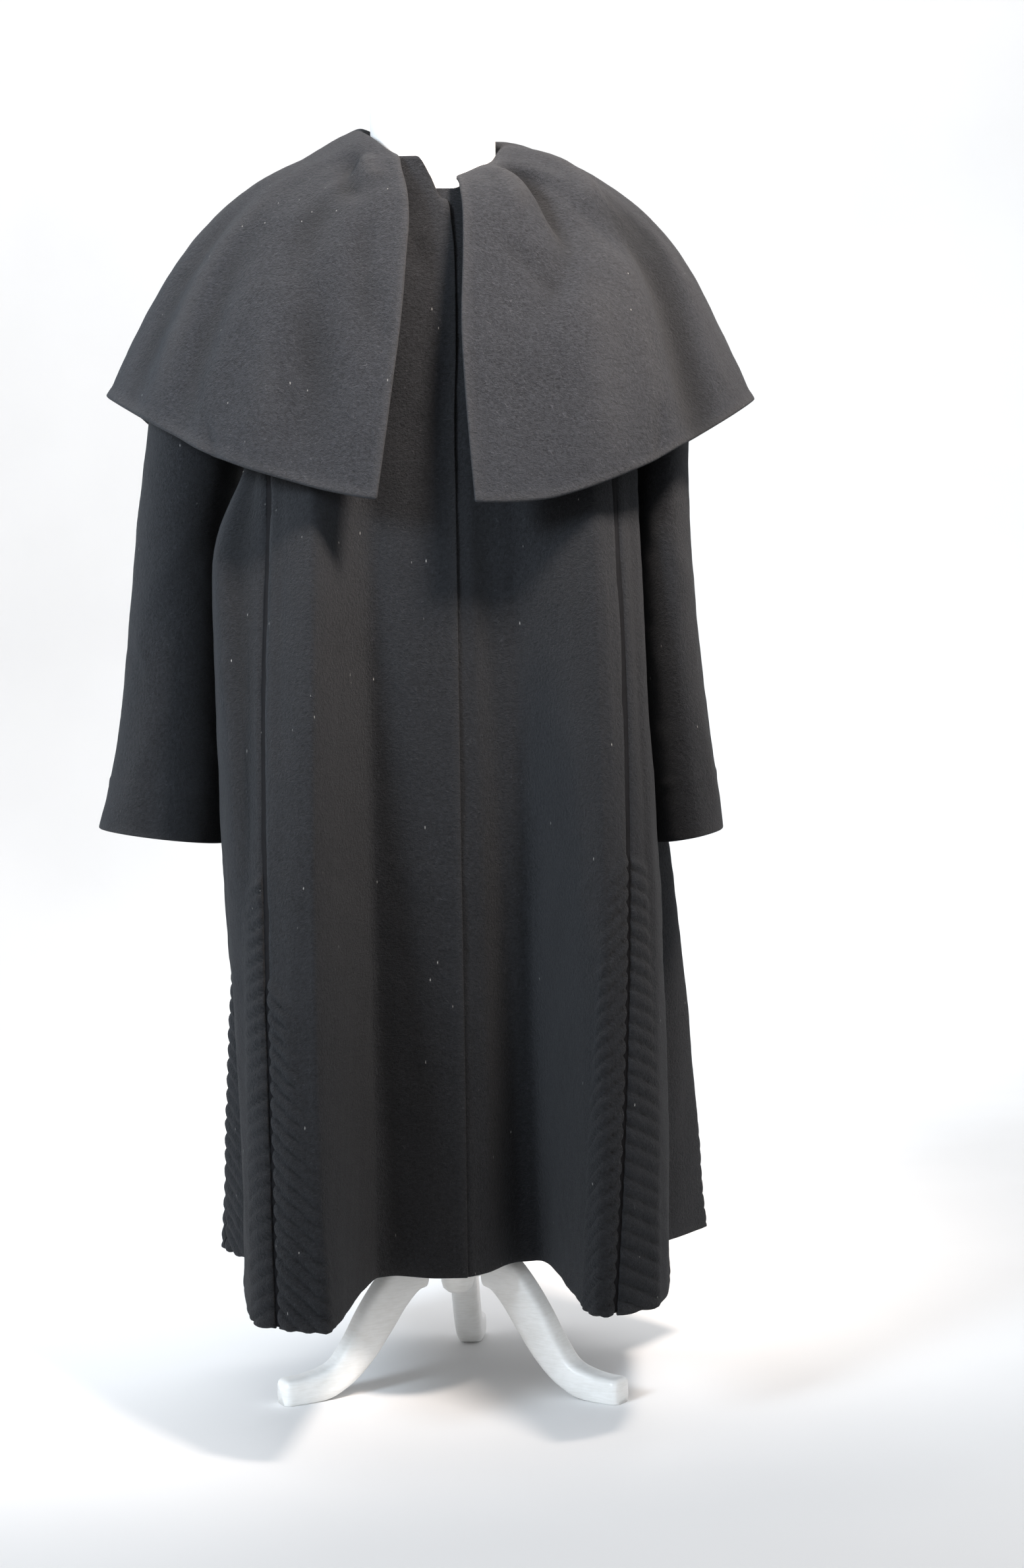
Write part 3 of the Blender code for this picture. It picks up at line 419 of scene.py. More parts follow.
coatShape = {
    "wall": 0.0020, "seamGap": 0.0003, "strip": 0.005, "hemZ": 0.120, "foldStart": 0.14,
    "sections": (   # half width, front, back, height in front, at the side and behind
        (0.066, 0.085, 0.062, 1.090, 1.107, 1.1194),
        (0.125, 0.098, 0.078, 1.065, 1.085, 1.095),
        (0.186, 0.112, 0.092, 1.020, 1.048, 1.040),
        (0.178, 0.124, 0.102, 0.945, 0.958, 0.950),
        (0.162, 0.130, 0.106, 0.870, 0.870, 0.870),
        (0.160, 0.134, 0.112, 0.800, 0.800, 0.800),
        (0.166, 0.134, 0.125, 0.650, 0.650, 0.650),
        (0.175, 0.130, 0.142, 0.500, 0.500, 0.500),
        (0.187, 0.120, 0.166, 0.300, 0.300, 0.300),
        (0.195, 0.112, 0.190, 0.120, 0.120, 0.120),
    ),
    "folds": (      # four azimuths, push at the hem x and y, push high up x and y, top height, two powers
        (-90, -53, -33, -21, -0.004, -0.205, -0.025, 0.0, 0.97, 0.85, 1.0),
        (-92, -80, -68, -54, 0.0, 0.0, -0.038, -0.024, 0.89, 1.0, 2.4),
        (22, 38, 58, 92, 0.0, -0.180, 0.036, 0.0, 0.97, 0.85, 1.0),
        (3, 17, 25, 33, 0.0, 0.056, 0.0, 0.0, 0.84, 1.2, 1.0),
        (-24, -17, -14, -5, 0.0, 0.009, 0.0, 0.0, 0.60, 1.0, 1.0),
        (-130, -113, -103, -86, -0.030, 0.022, -0.004, 0.0, 0.80, 0.6, 1.0),
        (94, 110, 122, 137, 0.056, 0.026, 0.012, 0.0, 0.72, 0.5, 1.0),
        (-170, -155, -146, -130, -0.010, 0.052, 0.0, 0.0, 0.90, 1.0, 1.0),
        (139, 152, 159, 172, 0.010, 0.046, 0.0, 0.0, 0.90, 1.0, 1.0),
    ),
    "lines": {      # azimuth of each cutting line at every section
        "frontEdge": (8, 6, 5, 5, 4.5, 4.5, 4, 3.5, 3, 2.4),
        "underEdge": (-8, -8, -8, -8, -8, -8, -8, -8, -7, -6),
        "rightFrontSeam": (-90, -90, -60, -52, -52, -52, -53.5, -51.5, -48.5, -48),
        "leftFrontSeam": (90, 90, 60, 48, 47, 48, 49, 47.5, 44.5, 42),
        "rightSide": (-90, -90, -90, -90, -90, -88, -84, -80, -76, -72),
        "leftSide": (90, 90, 90, 90, 90, 88, 85, 82, 80, 78),
        "rightBackSeam": (-90, -90, -120, -130, -128, -122, -112, -106, -101, -98),
        "leftBackSeam": (90, 90, 120, 130, 129, 126, 124, 122, 121, 121),
    },
    "armholeHalf": 28.0, "tipRing": 2, "underarmRing": 4,
}


def coat(a, t):
    # the section's ring at row t, pushed out by each fold's plateau times its share of the way down
    a, t = np.broadcast_arrays(np.asarray(a, float), np.asarray(t, float))
    p = ringPoint(a, *np.moveaxis(along(coatShape["sections"], t), -1, 0))
    z = p[..., 2].copy()
    for row in coatShape["folds"]:
        lowX, lowY, highX, highY, topZ, power, highPower = row[4:]
        drop = np.clip((topZ - z) / (topZ - coatShape["hemZ"]), 0.0, 1.0)
        low = plateau(a, row) * drop**power
        high = plateau(a, row) * (1.0 - drop**2) ** highPower * smooth((topZ - z) / coatShape["foldStart"])
        p[..., 0] += low * lowX + high * highX
        p[..., 1] += low * lowY + high * highY
    return p


def moved(a, t, distance):
    # the azimuth plus the real distance divided by the surface's metres a degree
    speed = np.linalg.norm(coat(a + 0.05, t) - coat(a - 0.05, t), axis=-1) / 0.1
    return a + distance / speed


def lineAt(name, t):
    # the cutting line's azimuth at row t, by the cubic of along
    return along(coatShape["lines"][name], t)


def sideLine(side, t, towards):
    # shoulder seam, armhole and side seam as one edge, the armhole being half an ellipse in azimuth
    middle = (coatShape["tipRing"] + coatShape["underarmRing"]) / 2
    half = coatShape["armholeHalf"] * np.sqrt(np.clip(1.0 - (t - middle) ** 2, 0.0, 1.0))
    base = lineAt("rightSide" if side < 0 else "leftSide", t) + side * towards * half
    return moved(base, t, side * towards * 0.00005)   # the seam is closed


panelLooks = {
    "bodyRow": 6.9, "upperRows": 74, "lowerRows": 156, "columnWidth": 0.0041,
    "tuckPitch": 0.0142, "tuckHeight": 0.0033, "tuckRound": 0.62,
    "tuckEdge": 0.0009, "tuckEdgeWidth": 0.006,     # the edge swells this far over the velvet
    "seamDip": 0.0011, "seamWidth": 0.0045, "hemRoll": 0.0007, "hemWidth": 0.006, "wornWidth": 0.004,
    "foldShade": 0.45, "foldShadeDepth": 0.006,   # the painted shade at the bottom of a crease, full at this depth
    "waves": ((0.055, 0.0010, 3), (0.022, 0.00040, 5), (0.008, 0.00012, 7)),   # length, height, seed
    "stripGap": coatShape["strip"] / 2 + coatShape["seamGap"], "shoulderRow": 1.12,
}


def waves(base, seed):
    # ripples of three lengths, each times its height
    return sum(height * ripple(base, size, number + seed) for size, height, number in panelLooks["waves"])


def evenShares(left, right):
    # shares of the panel's width whose points are even along the hem
    u = np.linspace(0, 1, 600)
    t = np.full(600, 9.0)
    hem = coat(left(t) * (1 - u) + right(t) * u, t)
    run = np.concatenate([[0], np.cumsum(np.linalg.norm(np.diff(hem, axis=0), axis=1))])
    return np.interp(np.linspace(0, run[-1], int(run[-1] / panelLooks["columnWidth"])), run, u)


def tuckField(gap, z, topZ, slope, reachTop, reachHem):
    # rounded ridges and sharp valleys: the sine of the phase to a power under one, where the phase is the
    # height plus slope times the distance from the seam, over the pitch; faded out past the reach; the second result
    # is painted shade in the troughs
    looks = panelLooks
    phase = (topZ - z - slope * gap) / looks["tuckPitch"]
    ridge = np.sin(np.pi * np.mod(phase, 1.0)) ** looks["tuckRound"]
    reach = reachTop + (reachHem - reachTop) * np.clip((topZ - z) / (topZ - coatShape["hemZ"]), 0, 1)
    fade = (1.0 - smooth((gap - 0.62 * reach) / (0.38 * reach))) * smooth(phase / 0.8)
    return ridge * fade, (1.0 - smooth(ridge / 0.55)) * fade


def clothPanel(name, left, right, topT, tucks, creases, adjust, seams, seed):
    # outer face: the coat's surface moved along its normal by tucks, creases, seam dips and small waves;
    # inner face: the same less the tucks, one wall further in
    looks = panelLooks
    t = np.concatenate([np.linspace(topT, looks["bodyRow"], looks["upperRows"]),
                        np.linspace(looks["bodyRow"], 9.0, looks["lowerRows"])[1:]])
    u, t = np.meshgrid(evenShares(left, right), t, indexing="ij")
    a = left(t) * (1 - u) + right(t) * u
    base, n = coat(a, t), outward(coat, a, t)
    if adjust:
        base = adjust(base, n, a, t, u)
    z = base[..., 2]
    gapLeft = np.linalg.norm(np.diff(base, axis=0), axis=-1)
    gapLeft = np.concatenate([np.zeros((1, t.shape[1])), np.cumsum(gapLeft, axis=0)])
    gaps = gapLeft, gapLeft[-1:] - gapLeft      # metres from each seam
    speed = gapLeft[-1:] / np.maximum(np.abs(a[-1:] - a[:1]), 1e-6)
    folds = creaseDepth(a, z, speed, 1.0, creases)
    shift = waves(base, seed) * smooth((t - 1.04) / 0.8) + folds
    tucked, valleyShade, sideways = np.zeros((3,) + z.shape)
    for gap, row, sewn, sign in zip(gaps, tucks, seams, (-1, 1)):
        if row:
            ridge, low = tuckField(gap, z, *tuckRows[row])
            tucked += ridge * looks["tuckHeight"]
            # painted shade in the troughs of the tucks
            valleyShade = np.maximum(valleyShade, low)
            sideways += sign * ridge * looks["tuckEdge"] * bell(gap, looks["tuckEdgeWidth"])
        if sewn:
            shift -= looks["seamDip"] * bell(gap, looks["seamWidth"]) * smooth(gapLeft[-1:] / 0.02)
    across = np.gradient(base, axis=0)
    across /= np.linalg.norm(across, axis=-1, keepdims=True)
    fromHem, skirt = z - coatShape["hemZ"], t > 6
    roll = looks["hemRoll"] * bell(fromHem, looks["hemWidth"]) * skirt
    outer = base + n * (shift + tucked + roll)[..., None] + across * sideways[..., None]
    inner = base + n * (shift - coatShape["wall"])[..., None]
    # and painted shade at the bottom of the creases
    valleyShade = np.maximum(valleyShade, looks["foldShade"] * smooth(-folds / looks["foldShadeDepth"]))
    fromEdge = np.minimum(*(np.where(sewn, 1.0, gap) for gap, sewn in zip(gaps, seams)))
    worn = np.maximum(bell(fromEdge, looks["wornWidth"]), bell(fromHem, looks["wornWidth"]) * skirt)
    piece = closedWall(name, outer, inner, (("worn", worn), ("deep", valleyShade)),
                       pushes=(0.1 if seams[0] else 1.0, 0.1 if seams[1] else 1.0, 0.2, 1.0))
    return piece, base


tuckRows = {        # top height, fall a metre away from the seam, reach at the top and at the hem
    "frontRight": (0.405, 0.85, 0.020, 0.066), "sideFrontRight": (0.490, 0.50, 0.030, 0.052),
    "frontLeft": (0.500, 0.86, 0.020, 0.062), "sideFrontLeft": (0.500, 0.47, 0.024, 0.056),
    "backPieces": (0.400, 0.60, 0.016, 0.050),
}

panelCreases = {    # azimuth and height at the top and at the bottom, width, depth
    "frontRight": (
        (-14.5, 1.075, -3.0, 1.015, 0.010, -0.0030), (-11, 1.000, -8, 0.900, 0.016, 0.0022),
        (-20.5, 0.42, -16.0, 0.10, 0.016, -0.0035), (-28.8, 0.44, -29.5, 0.10, 0.014, 0.0030),
        (-38, 0.52, -42, 0.12, 0.020, 0.0025), (-23, 0.80, -25.5, 0.46, 0.022, -0.0022),
        (-34, 0.84, -36, 0.58, 0.018, 0.0018), (-12, 0.72, -9, 0.34, 0.024, 0.0018),
        (-46, 0.86, -45, 0.60, 0.010, -0.0018),
    ),
    "frontLeft": (
        (12, 0.90, 16, 0.60, 0.016, -0.0025), (24, 0.86, 26, 0.55, 0.018, 0.0026),
        (33, 0.84, 36, 0.48, 0.012, -0.0022), (40, 0.80, 42, 0.56, 0.010, 0.0016),
        (10, 0.56, 9, 0.22, 0.016, 0.0022),
    ),
    "sideFrontRight": (
        (-61, 0.90, -59, 0.50, 0.011, -0.0070), (-74, 0.84, -70, 0.40, 0.014, 0.0045),
        (-66, 0.50, -62, 0.16, 0.014, 0.0018),
    ),
    "sideFrontLeft": ((56, 0.84, 57, 0.30, 0.010, -0.0020), (70, 0.62, 66, 0.14, 0.020, 0.0024)),
    "sideBackRight": ((-92, 0.60, -88, 0.14, 0.020, -0.0030), (-104, 0.50, -98, 0.14, 0.016, 0.0024)),
    "sideBackLeft": ((104, 0.50, 100, 0.14, 0.018, 0.0034), (90, 0.52, 94, 0.16, 0.016, -0.0030)),
    "back": (
        (170, 0.84, 168, 0.20, 0.022, 0.0036), (182, 0.80, 185, 0.14, 0.018, -0.0034),
        (198, 0.86, 196, 0.24, 0.022, 0.0030), (156, 0.70, 160, 0.14, 0.018, -0.0024),
        (212, 0.74, 208, 0.14, 0.018, -0.0028), (144, 0.66, 146, 0.20, 0.016, 0.0020),
    ),
}

frontEnds = {       # heights and azimuths of the standing end, and the underlap's depth and share of the width
    "peak": 0.027, "peakRise": (-42.0, 8.0), "peakFall": (-13.0, 17.0), "dip": 0.014, "dipRise": (-2.0, 9.0),
    "turnOut": 0.003, "lapDepth": 0.0032, "lapStart": 0.245, "lapWidth": 0.085,
}


def standUp(base, n, a, t, u):
    # the free end of the neck rises to a rounded peak beside the cape's edge: one step up times one less another
    ends = frontEnds
    peak = ends["peak"] * step(a, ends["peakRise"]) * (1.0 - step(a, ends["peakFall"]))
    base = base.copy()
    base[..., 2] += (peak - ends["dip"] * step(a, ends["dipRise"])) * np.clip(1.0 - t, 0.0, 1.0)
    return base + n * (ends["turnOut"] * smooth((u - 0.86) / 0.14) * smooth((1.6 - t) / 1.2))[..., None]


def tuckUnder(base, n, a, t, u):
    # the underlap lies one wall and a little air further in, coming out past the lap's edge by one step
    ends = frontEnds
    return base - n * (ends["lapDepth"] * (1.0 - step(u, (ends["lapStart"], ends["lapWidth"]))))[..., None]


def beside(seam, side, turn=0.0):
    # the cutting line that runs beside a velvet strip, half its width and the gap away
    return lambda t: moved(lineAt(seam, t) + turn, t, side * panelLooks["stripGap"])


shoulder = panelLooks["shoulderRow"]
panels = (      # piece, left and right line, top row, rows of tucks, adjustment, which sides are sewn, seed
    ("frontRight", beside("rightFrontSeam", 1), lambda t: lineAt("frontEdge", t), 0.0,
     ("frontRight", None), standUp, (1, 0), 10),
    ("frontLeft", lambda t: lineAt("underEdge", t), beside("leftFrontSeam", -1), 0.0,
     (None, "frontLeft"), tuckUnder, (0, 1), 20),
    ("sideFrontRight", lambda t: sideLine(-1, t, -1), beside("rightFrontSeam", -1), shoulder,
     (None, "sideFrontRight"), None, (1, 1), 30),
    ("sideFrontLeft", beside("leftFrontSeam", 1), lambda t: sideLine(1, t, -1), shoulder,
     ("sideFrontLeft", None), None, (1, 1), 40),
    ("sideBackRight", beside("rightBackSeam", 1), lambda t: sideLine(-1, t, 1), shoulder,
     ("backPieces", None), None, (1, 1), 50),
    ("sideBackLeft", lambda t: sideLine(1, t, 1), beside("leftBackSeam", -1), shoulder,
     (None, "backPieces"), None, (1, 1), 60),
    ("back", beside("leftBackSeam", 1), beside("rightBackSeam", -1, 360.0), 0.0,
     ("backPieces", "backPieces"), None, (1, 1), 70),
)
for title, left, right, topT, tucks, adjust, seams, seed in panels:
    piece, cut = clothPanel(title + "Cloth", left, right, topT, tucks, panelCreases[title], adjust, seams, seed)
    node = "".join("_" + c.lower() if c.isupper() else c for c in title)    # sideBackLeft is side_back_left
    dress(piece, wool, "wool", node)
print("fronts, sides and back made")

stripLooks = {"sink": 0.0006, "dip": 0.7, "wall": 0.0016, "crown": 0.0004, "columns": 11, "rows": 340,
              "tuckedIn": 0.0025, "under": 0.0003}   # width and depth of the turnings under the cloth


def velvetStrip(name, seam):
    # a band down the seam, crowned by the cosine across the half that shows; past it smooth of the distance
    # over the turnings' width takes the turnings down under the cloth
    looks, half = stripLooks, coatShape["strip"] / 2
    t, x = np.meshgrid(np.linspace(panelLooks["shoulderRow"], 9.0, looks["rows"]),
                       np.linspace(-1, 1, looks["columns"]) * (half + looks["tuckedIn"]))
    a = moved(lineAt(seam, t), t, x)
    base, n = coat(a, t), outward(coat, a, t)
    under = looks["under"] * smooth((np.abs(x) - half) / looks["tuckedIn"]) + looks["sink"]
    crown = looks["crown"] * np.cos(np.clip(x / half, -1, 1) * math.pi / 2) - looks["dip"] * panelLooks["seamDip"]
    outer, inner = base + n * (crown - under)[..., None], base - n * (under + looks["wall"])[..., None]
    return closedWall(name, outer, inner, pushes=(0.1, 0.1, 0.2, 0.6)), base


for side in ("right", "left"):
    for part in ("Front", "Back"):
        strip, stripCut = velvetStrip(f"{side}{part}Velvet", f"{side}{part}Seam")
        dress(strip, velvet, "velvet", f"velvet_{side}_{part.lower()}_seam")
print("velvet strips made")

sleeveShape = {
    "slack": 0.0006, "columns": 120, "rows": 230, "wall": 0.0020, "speed": 0.0012,     # metres in a degree
    "rowStep": 0.0022, "hemAt": 0.030, "hemWidth": 0.0016, "hemDip": 0.0008,    # the cuff's hem is sewn here
    "right": (      # centre, half width across and fore and aft, rise of the outer side
        (0.205, 0.000, 0.952, 0.028, 0.074, 0.076), (0.2185, 0.000, 0.915, 0.037, 0.076, 0.056),
        (0.2265, 0.002, 0.858, 0.039, 0.075, 0.028), (0.239, 0.006, 0.780, 0.0415, 0.073, 0.012),
        (0.248, 0.008, 0.650, 0.047, 0.071, 0.008), (0.256, 0.008, 0.566, 0.052, 0.071, 0.008),
        (0.264, 0.006, 0.515, 0.056, 0.073, 0.008),
    ),
    "left": (
        (0.200, 0.000, 0.952, 0.023, 0.074, 0.076), (0.205, -0.003, 0.912, 0.026, 0.076, 0.054),
        (0.2025, -0.008, 0.855, 0.0255, 0.077, 0.026), (0.2010, -0.012, 0.780, 0.0255, 0.078, 0.012),
        (0.2070, -0.018, 0.650, 0.0275, 0.078, 0.008), (0.2145, -0.022, 0.566, 0.0300, 0.078, 0.006),
        (0.2195, -0.024, 0.507, 0.0310, 0.080, 0.006),
    ),
    "creases": (    # angle round the sleeve, height, twice, width, depth; 90 is the outer side, 0 the front
        (40, 0.70, 20, 0.66, 0.008, -0.0014), (-20, 0.80, 30, 0.72, 0.014, -0.0016),
        (150, 0.72, 110, 0.66, 0.012, -0.0020), (70, 0.86, 84, 0.58, 0.018, 0.0014),
        (20, 0.62, 34, 0.54, 0.014, -0.0012), (200, 0.80, 170, 0.62, 0.016, -0.0016),
        (10, 0.58, 6, 0.51, 0.016, 0.0016), (118, 0.60, 124, 0.51, 0.014, -0.0014),
    ),
}


def makeSleeve(name, side, table, node, seed):
    # rings from the armhole, which lies on the coat's surface, through the table's ellipses to the cuff,
    # joined by the cubic of along; each ellipse leans up on its outer side
    shape = sleeveShape
    phi = np.linspace(0, 2 * math.pi, shape["columns"], endpoint=False)
    s, c = np.sin(phi), np.cos(phi)
    a = side * (90.0 - coatShape["armholeHalf"] * c)
    t = 3.0 - s
    ring, n = coat(a, t), outward(coat, a, t)
    inward = ring.mean(axis=0) - ring
    inward -= n * (inward * n).sum(axis=1, keepdims=True)
    ring = ring + inward / np.linalg.norm(inward, axis=1, keepdims=True) * shape["slack"]
    rings = [ring + n * height for height in (-0.003, 0.001, 0.005)]
    for k in (0, 0.5, 1, 1.5, 2, 2.5, 3, 3.5, 4, 4.5, 5, 6):
        x, y, z, halfX, halfY, lift = along(table, k)
        rings.append(np.stack([side * (x + halfX * s), y - halfY * c, z + lift * s], -1))
    base = np.moveaxis(along(np.array(rings), np.linspace(0, len(rings) - 1, shape["rows"])), 0, 1)
    if side > 0:
        base = base[::-1]
    n = gridNormals(base, wrap=True)
    angle = np.degrees(np.arctan2(side * (base[..., 0] - base[..., 0].mean(axis=0)) / 0.05,
                                  -(base[..., 1] - base[..., 1].mean(axis=0)) / 0.075))
    angle = np.mod(angle + 100.0, 360.0) - 100.0
    shift = creaseDepth(angle, base[..., 2], shape["speed"], 1.0, shape["creases"]) + 0.8 * waves(base, seed)
    row = np.arange(shape["rows"])      # the creases start below the rows that round the armhole
    fromCuff = row[::-1] * shape["rowStep"]
    shift = shift * smooth((row - 26) / 30.0) - shape["hemDip"] * bell(fromCuff - shape["hemAt"], shape["hemWidth"])
    outer = base + n * shift[..., None]
    inner = base + n * (shift - shape["wall"])[..., None]
    worn = np.broadcast_to(bell(fromCuff, panelLooks["wornWidth"]), base.shape[:2])
    piece = closedWall(name, outer, inner, (("worn", worn), ("deep", 0.0 * worn)), wrap=True, pushes=(0, 0, 0.2, 1.2))
    dress(piece, wool, "wool", node)


makeSleeve("sleeveRightCloth", -1, sleeveShape["right"], "sleeve_right", 80)
makeSleeve("sleeveLeftCloth", 1, sleeveShape["left"], "sleeve_left", 90)
print("sleeves made")


capeShape = {
    "wall": 0.0030, "rise": 1.8, "leftDrop": 0.013, "rightLift": 0.008, "neckTilt": 0.2,
    "edgeRoll": 0.0010, "rollWidth": 0.007,
    "stitchDip": 0.0004, "stitchAt": 0.010, "stitchWidth": 0.0022,      # the row of stitches along the edge
    "pitch": 0.047, "capeShadeDepth": 0.009, "ridgeHighlightDepth": 0.005,      # metres in a section, and the crease depths at which the painted shade in the troughs and the painted highlight on the ridges are full
    "columns": 300, "rows": 116,
    "sections": (   # half width, front, back, height in front, at the side and behind
        (0.064, 0.083, 0.060, 1.0905, 1.1075, 1.120), (0.062, 0.080, 0.060, 1.108, 1.146, 1.152),
        (0.080, 0.094, 0.078, 1.108, 1.150, 1.158), (0.126, 0.112, 0.100, 1.090, 1.132, 1.132),
        (0.166, 0.132, 0.120, 1.058, 1.112, 1.095), (0.208, 0.152, 0.138, 1.010, 1.076, 1.045),
        (0.242, 0.168, 0.154, 0.958, 1.030, 0.985), (0.271, 0.184, 0.168, 0.888, 0.974, 0.908),
        (0.297, 0.200, 0.184, 0.802, 0.920, 0.822),
    ),
    "shift": (0.0, 0.0, 0.001, 0.003, 0.003, 0.001, -0.002, -0.005, -0.006),    # sideways, at every section
    "rightEdge": (-33, -33, -23.5, -14.0, -9.5, -8.0, -7.4, -8.1, -9.7),        # azimuth at every section
    "leftEdge": (24, 22, 15, 10, 8.2, 6.8, 6.0, 6.5, 7.2),
    "frontDrop": 0.016, "neckLift": 0.002, "backRoll": 0.006,
    "folds": (      # four azimuths, push out, first and last section
        (34, 46, 50, 58, -0.013, 2.0, 5.6), (56, 62, 66, 76, 0.006, 2.6, 6.5),
        (-62, -52, -46, -38, -0.006, 2.0, 4.6), (-50, -40, -32, -22, 0.007, 5.0, 9.5),
        (16, 28, 36, 48, 0.006, 5.0, 9.5), (-150, -135, -125, -108, 0.012, 4.5, 9.5),
        (112, 128, 138, 152, 0.011, 4.5, 9.5), (160, 172, 179, 179.9, -0.006, 5.0, 9.5),
    ),
    "creases": (    # azimuth and section at both ends, width, depth
        (-48, 2.6, -28.0, 3.75, 0.010, -0.0060), (-40, 2.35, -24.0, 3.1, 0.010, 0.0036),
        (-39, 3.8, -20, 7.4, 0.020, -0.0065), (-41.5, 7.6, -37, 8.2, 0.005, -0.0034),
        (-52, 4.9, -47, 7.8, 0.017, -0.0048), (-20, 4.3, -13.5, 6.2, 0.010, -0.0040),
        (-30, 4.6, -29, 7.6, 0.020, 0.0034), (-12.8, 5.4, -9.8, 6.4, 0.006, -0.0020),
        (-59, 4.2, -57, 7.6, 0.020, 0.0040), (-68, 4.6, -66, 7.8, 0.020, -0.0056),
        (49, 2.25, 37.0, 4.5, 0.0115, -0.0125), (38, 2.2, 26.5, 3.9, 0.010, 0.0046),
        (78, 2.5, 55, 4.1, 0.009, 0.0056), (38.8, 4.5, 21.8, 5.9, 0.012, -0.0034),
        (17, 4.5, 28, 5.5, 0.009, -0.0022), (64, 4.2, 53, 8.2, 0.025, -0.0115),
        (50, 4.6, 44, 7.8, 0.020, 0.0036), (44.5, 7.4, 40, 8.1, 0.006, -0.0030),
        (38, 5.4, 31, 7.9, 0.022, 0.0030), (150, 5.0, 148, 8.0, 0.022, -0.0034),
        (205, 4.6, 208, 8.0, 0.024, -0.0036), (176, 3.6, 178, 8.0, 0.024, 0.0040),
        (236, 4.0, 232, 7.8, 0.020, 0.0030), (120, 3.6, 118, 7.0, 0.018, -0.0026),
    ),
}


def cape(b, s):
    # the section's ring at row s, leaned to the wearer's left; its height changed at each side, at the front end,
    # the neck and the back, each amount times its steps; then pushed out by each fold where it lives
    shape = capeShape
    b, s = np.broadcast_arrays(np.asarray(b, float), np.asarray(s, float))
    p = ringPoint(b, *np.moveaxis(along(shape["sections"], s), -1, 0), rise=shape["rise"])
    p[..., 0] += along(shape["shift"], s)
    side = (b + 180.0) % 360.0 - 180.0
    low = smooth((s - 3.0) / 3.0)
    drop = smooth((side - 12.0 + 10.0 * low) / (40.0 - 20.0 * low)) * (1.0 - step(side, (100.0, 60.0)))
    lift = step(-side, (20.0, 40.0)) * (1.0 - step(-side, (100.0, 60.0)))
    end = step(side, (-4.0, 8.0)) * (1.0 - step(side, (8.0, 38.0)))
    p[..., 2] += (shape["rightLift"] * lift * smooth(s) * (1.0 - step(s, (1.5, 1.5)))
                  - shape["leftDrop"] * drop * smooth(s / 1.5)
                  - shape["frontDrop"] * end * smooth(s / 1.2) * (1.0 - step(s, (1.6, 2.6)))
                  + shape["neckLift"] * plateau(b, (-88, -62, -25, -12)) * smooth(s) * (1.0 - step(s, (1.2, 1.6)))
                  + shape["backRoll"] * plateau(b, (56, 74, 104, 150)) * smooth(s / 1.5)
                  * (1.0 - step(s, (2.2, 2.0))))
    out = p[..., :2] / np.linalg.norm(p[..., :2], axis=-1, keepdims=True)
    for row in shape["folds"]:
        push, first, last = row[4:]
        middle, half = (first + last) / 2, (last - first) / 2
        p[..., :2] += out * (plateau(b, row) * smooth(1.5 * (1.0 - np.abs(s - middle) / half)) * push)[..., None]
    return p


def makeCape():
    # outer face: the cape's surface moved along its normal by creases, waves and the roll and stitches of its
    # edge; inner face: the same without the stitches, one wall further in
    shape, looks = capeShape, panelLooks
    s, u = np.meshgrid(np.linspace(0, 8, shape["rows"]), np.linspace(0, 1, shape["columns"]))
    b = along(shape["leftEdge"], s) * (1 - u) + (along(shape["rightEdge"], s) + 360.0) * u
    base, n = cape(b, s), outward(cape, b, s)
    across = np.linalg.norm(np.diff(base, axis=0), axis=-1)
    gapLeft = np.concatenate([np.zeros((1, s.shape[1])), np.cumsum(across, axis=0)])
    down = np.linalg.norm(np.diff(base, axis=1), axis=-1)
    gapHem = np.concatenate([np.cumsum(down[:, ::-1], axis=1)[:, ::-1], np.zeros((s.shape[0], 1))], axis=1)
    edge = np.minimum(np.minimum(gapLeft, gapLeft[-1:] - gapLeft), gapHem)
    speed = gapLeft[-1:] / np.abs(b[-1:] - b[:1])
    folds = creaseDepth(np.where(b > 270.0, b - 360.0, b), s, speed, shape["pitch"], shape["creases"])
    shift = (folds + 1.1 * waves(base, 100)) * step(s, (1.2, 1.2))
    roll = shape["edgeRoll"] * bell(edge, shape["rollWidth"]) * smooth(s - 1.0)
    stitches = shape["stitchDip"] * bell(edge - shape["stitchAt"], shape["stitchWidth"]) * smooth(s - 2.0)
    outer = base + n * (shift + roll - stitches)[..., None]
    inner = base + n * (shift - shape["wall"] - roll * 0.5)[..., None]
    inner[:, 0, 2] = outer[:, 0, 2] + shape["neckTilt"] * (inner[:, 0, 1] - outer[:, 0, 1])
    # rubbed edges, and a painted highlight on the ridges of the creases
    worn = np.maximum(bell(edge, looks["wornWidth"]), smooth(folds / shape["ridgeHighlightDepth"]))
    # painted shade in the troughs of the creases
    foldShade = 1.8 * looks["foldShade"] * smooth(-folds / shape["capeShadeDepth"])
    piece = closedWall("capeCloth", outer, inner, (("worn", worn), ("deep", foldShade)), pushes=(1.0, 1.0, 0.2, 1.0))
    dress(piece, capeWool, "wool", "cape_collar")


makeCape()
print("cape made")


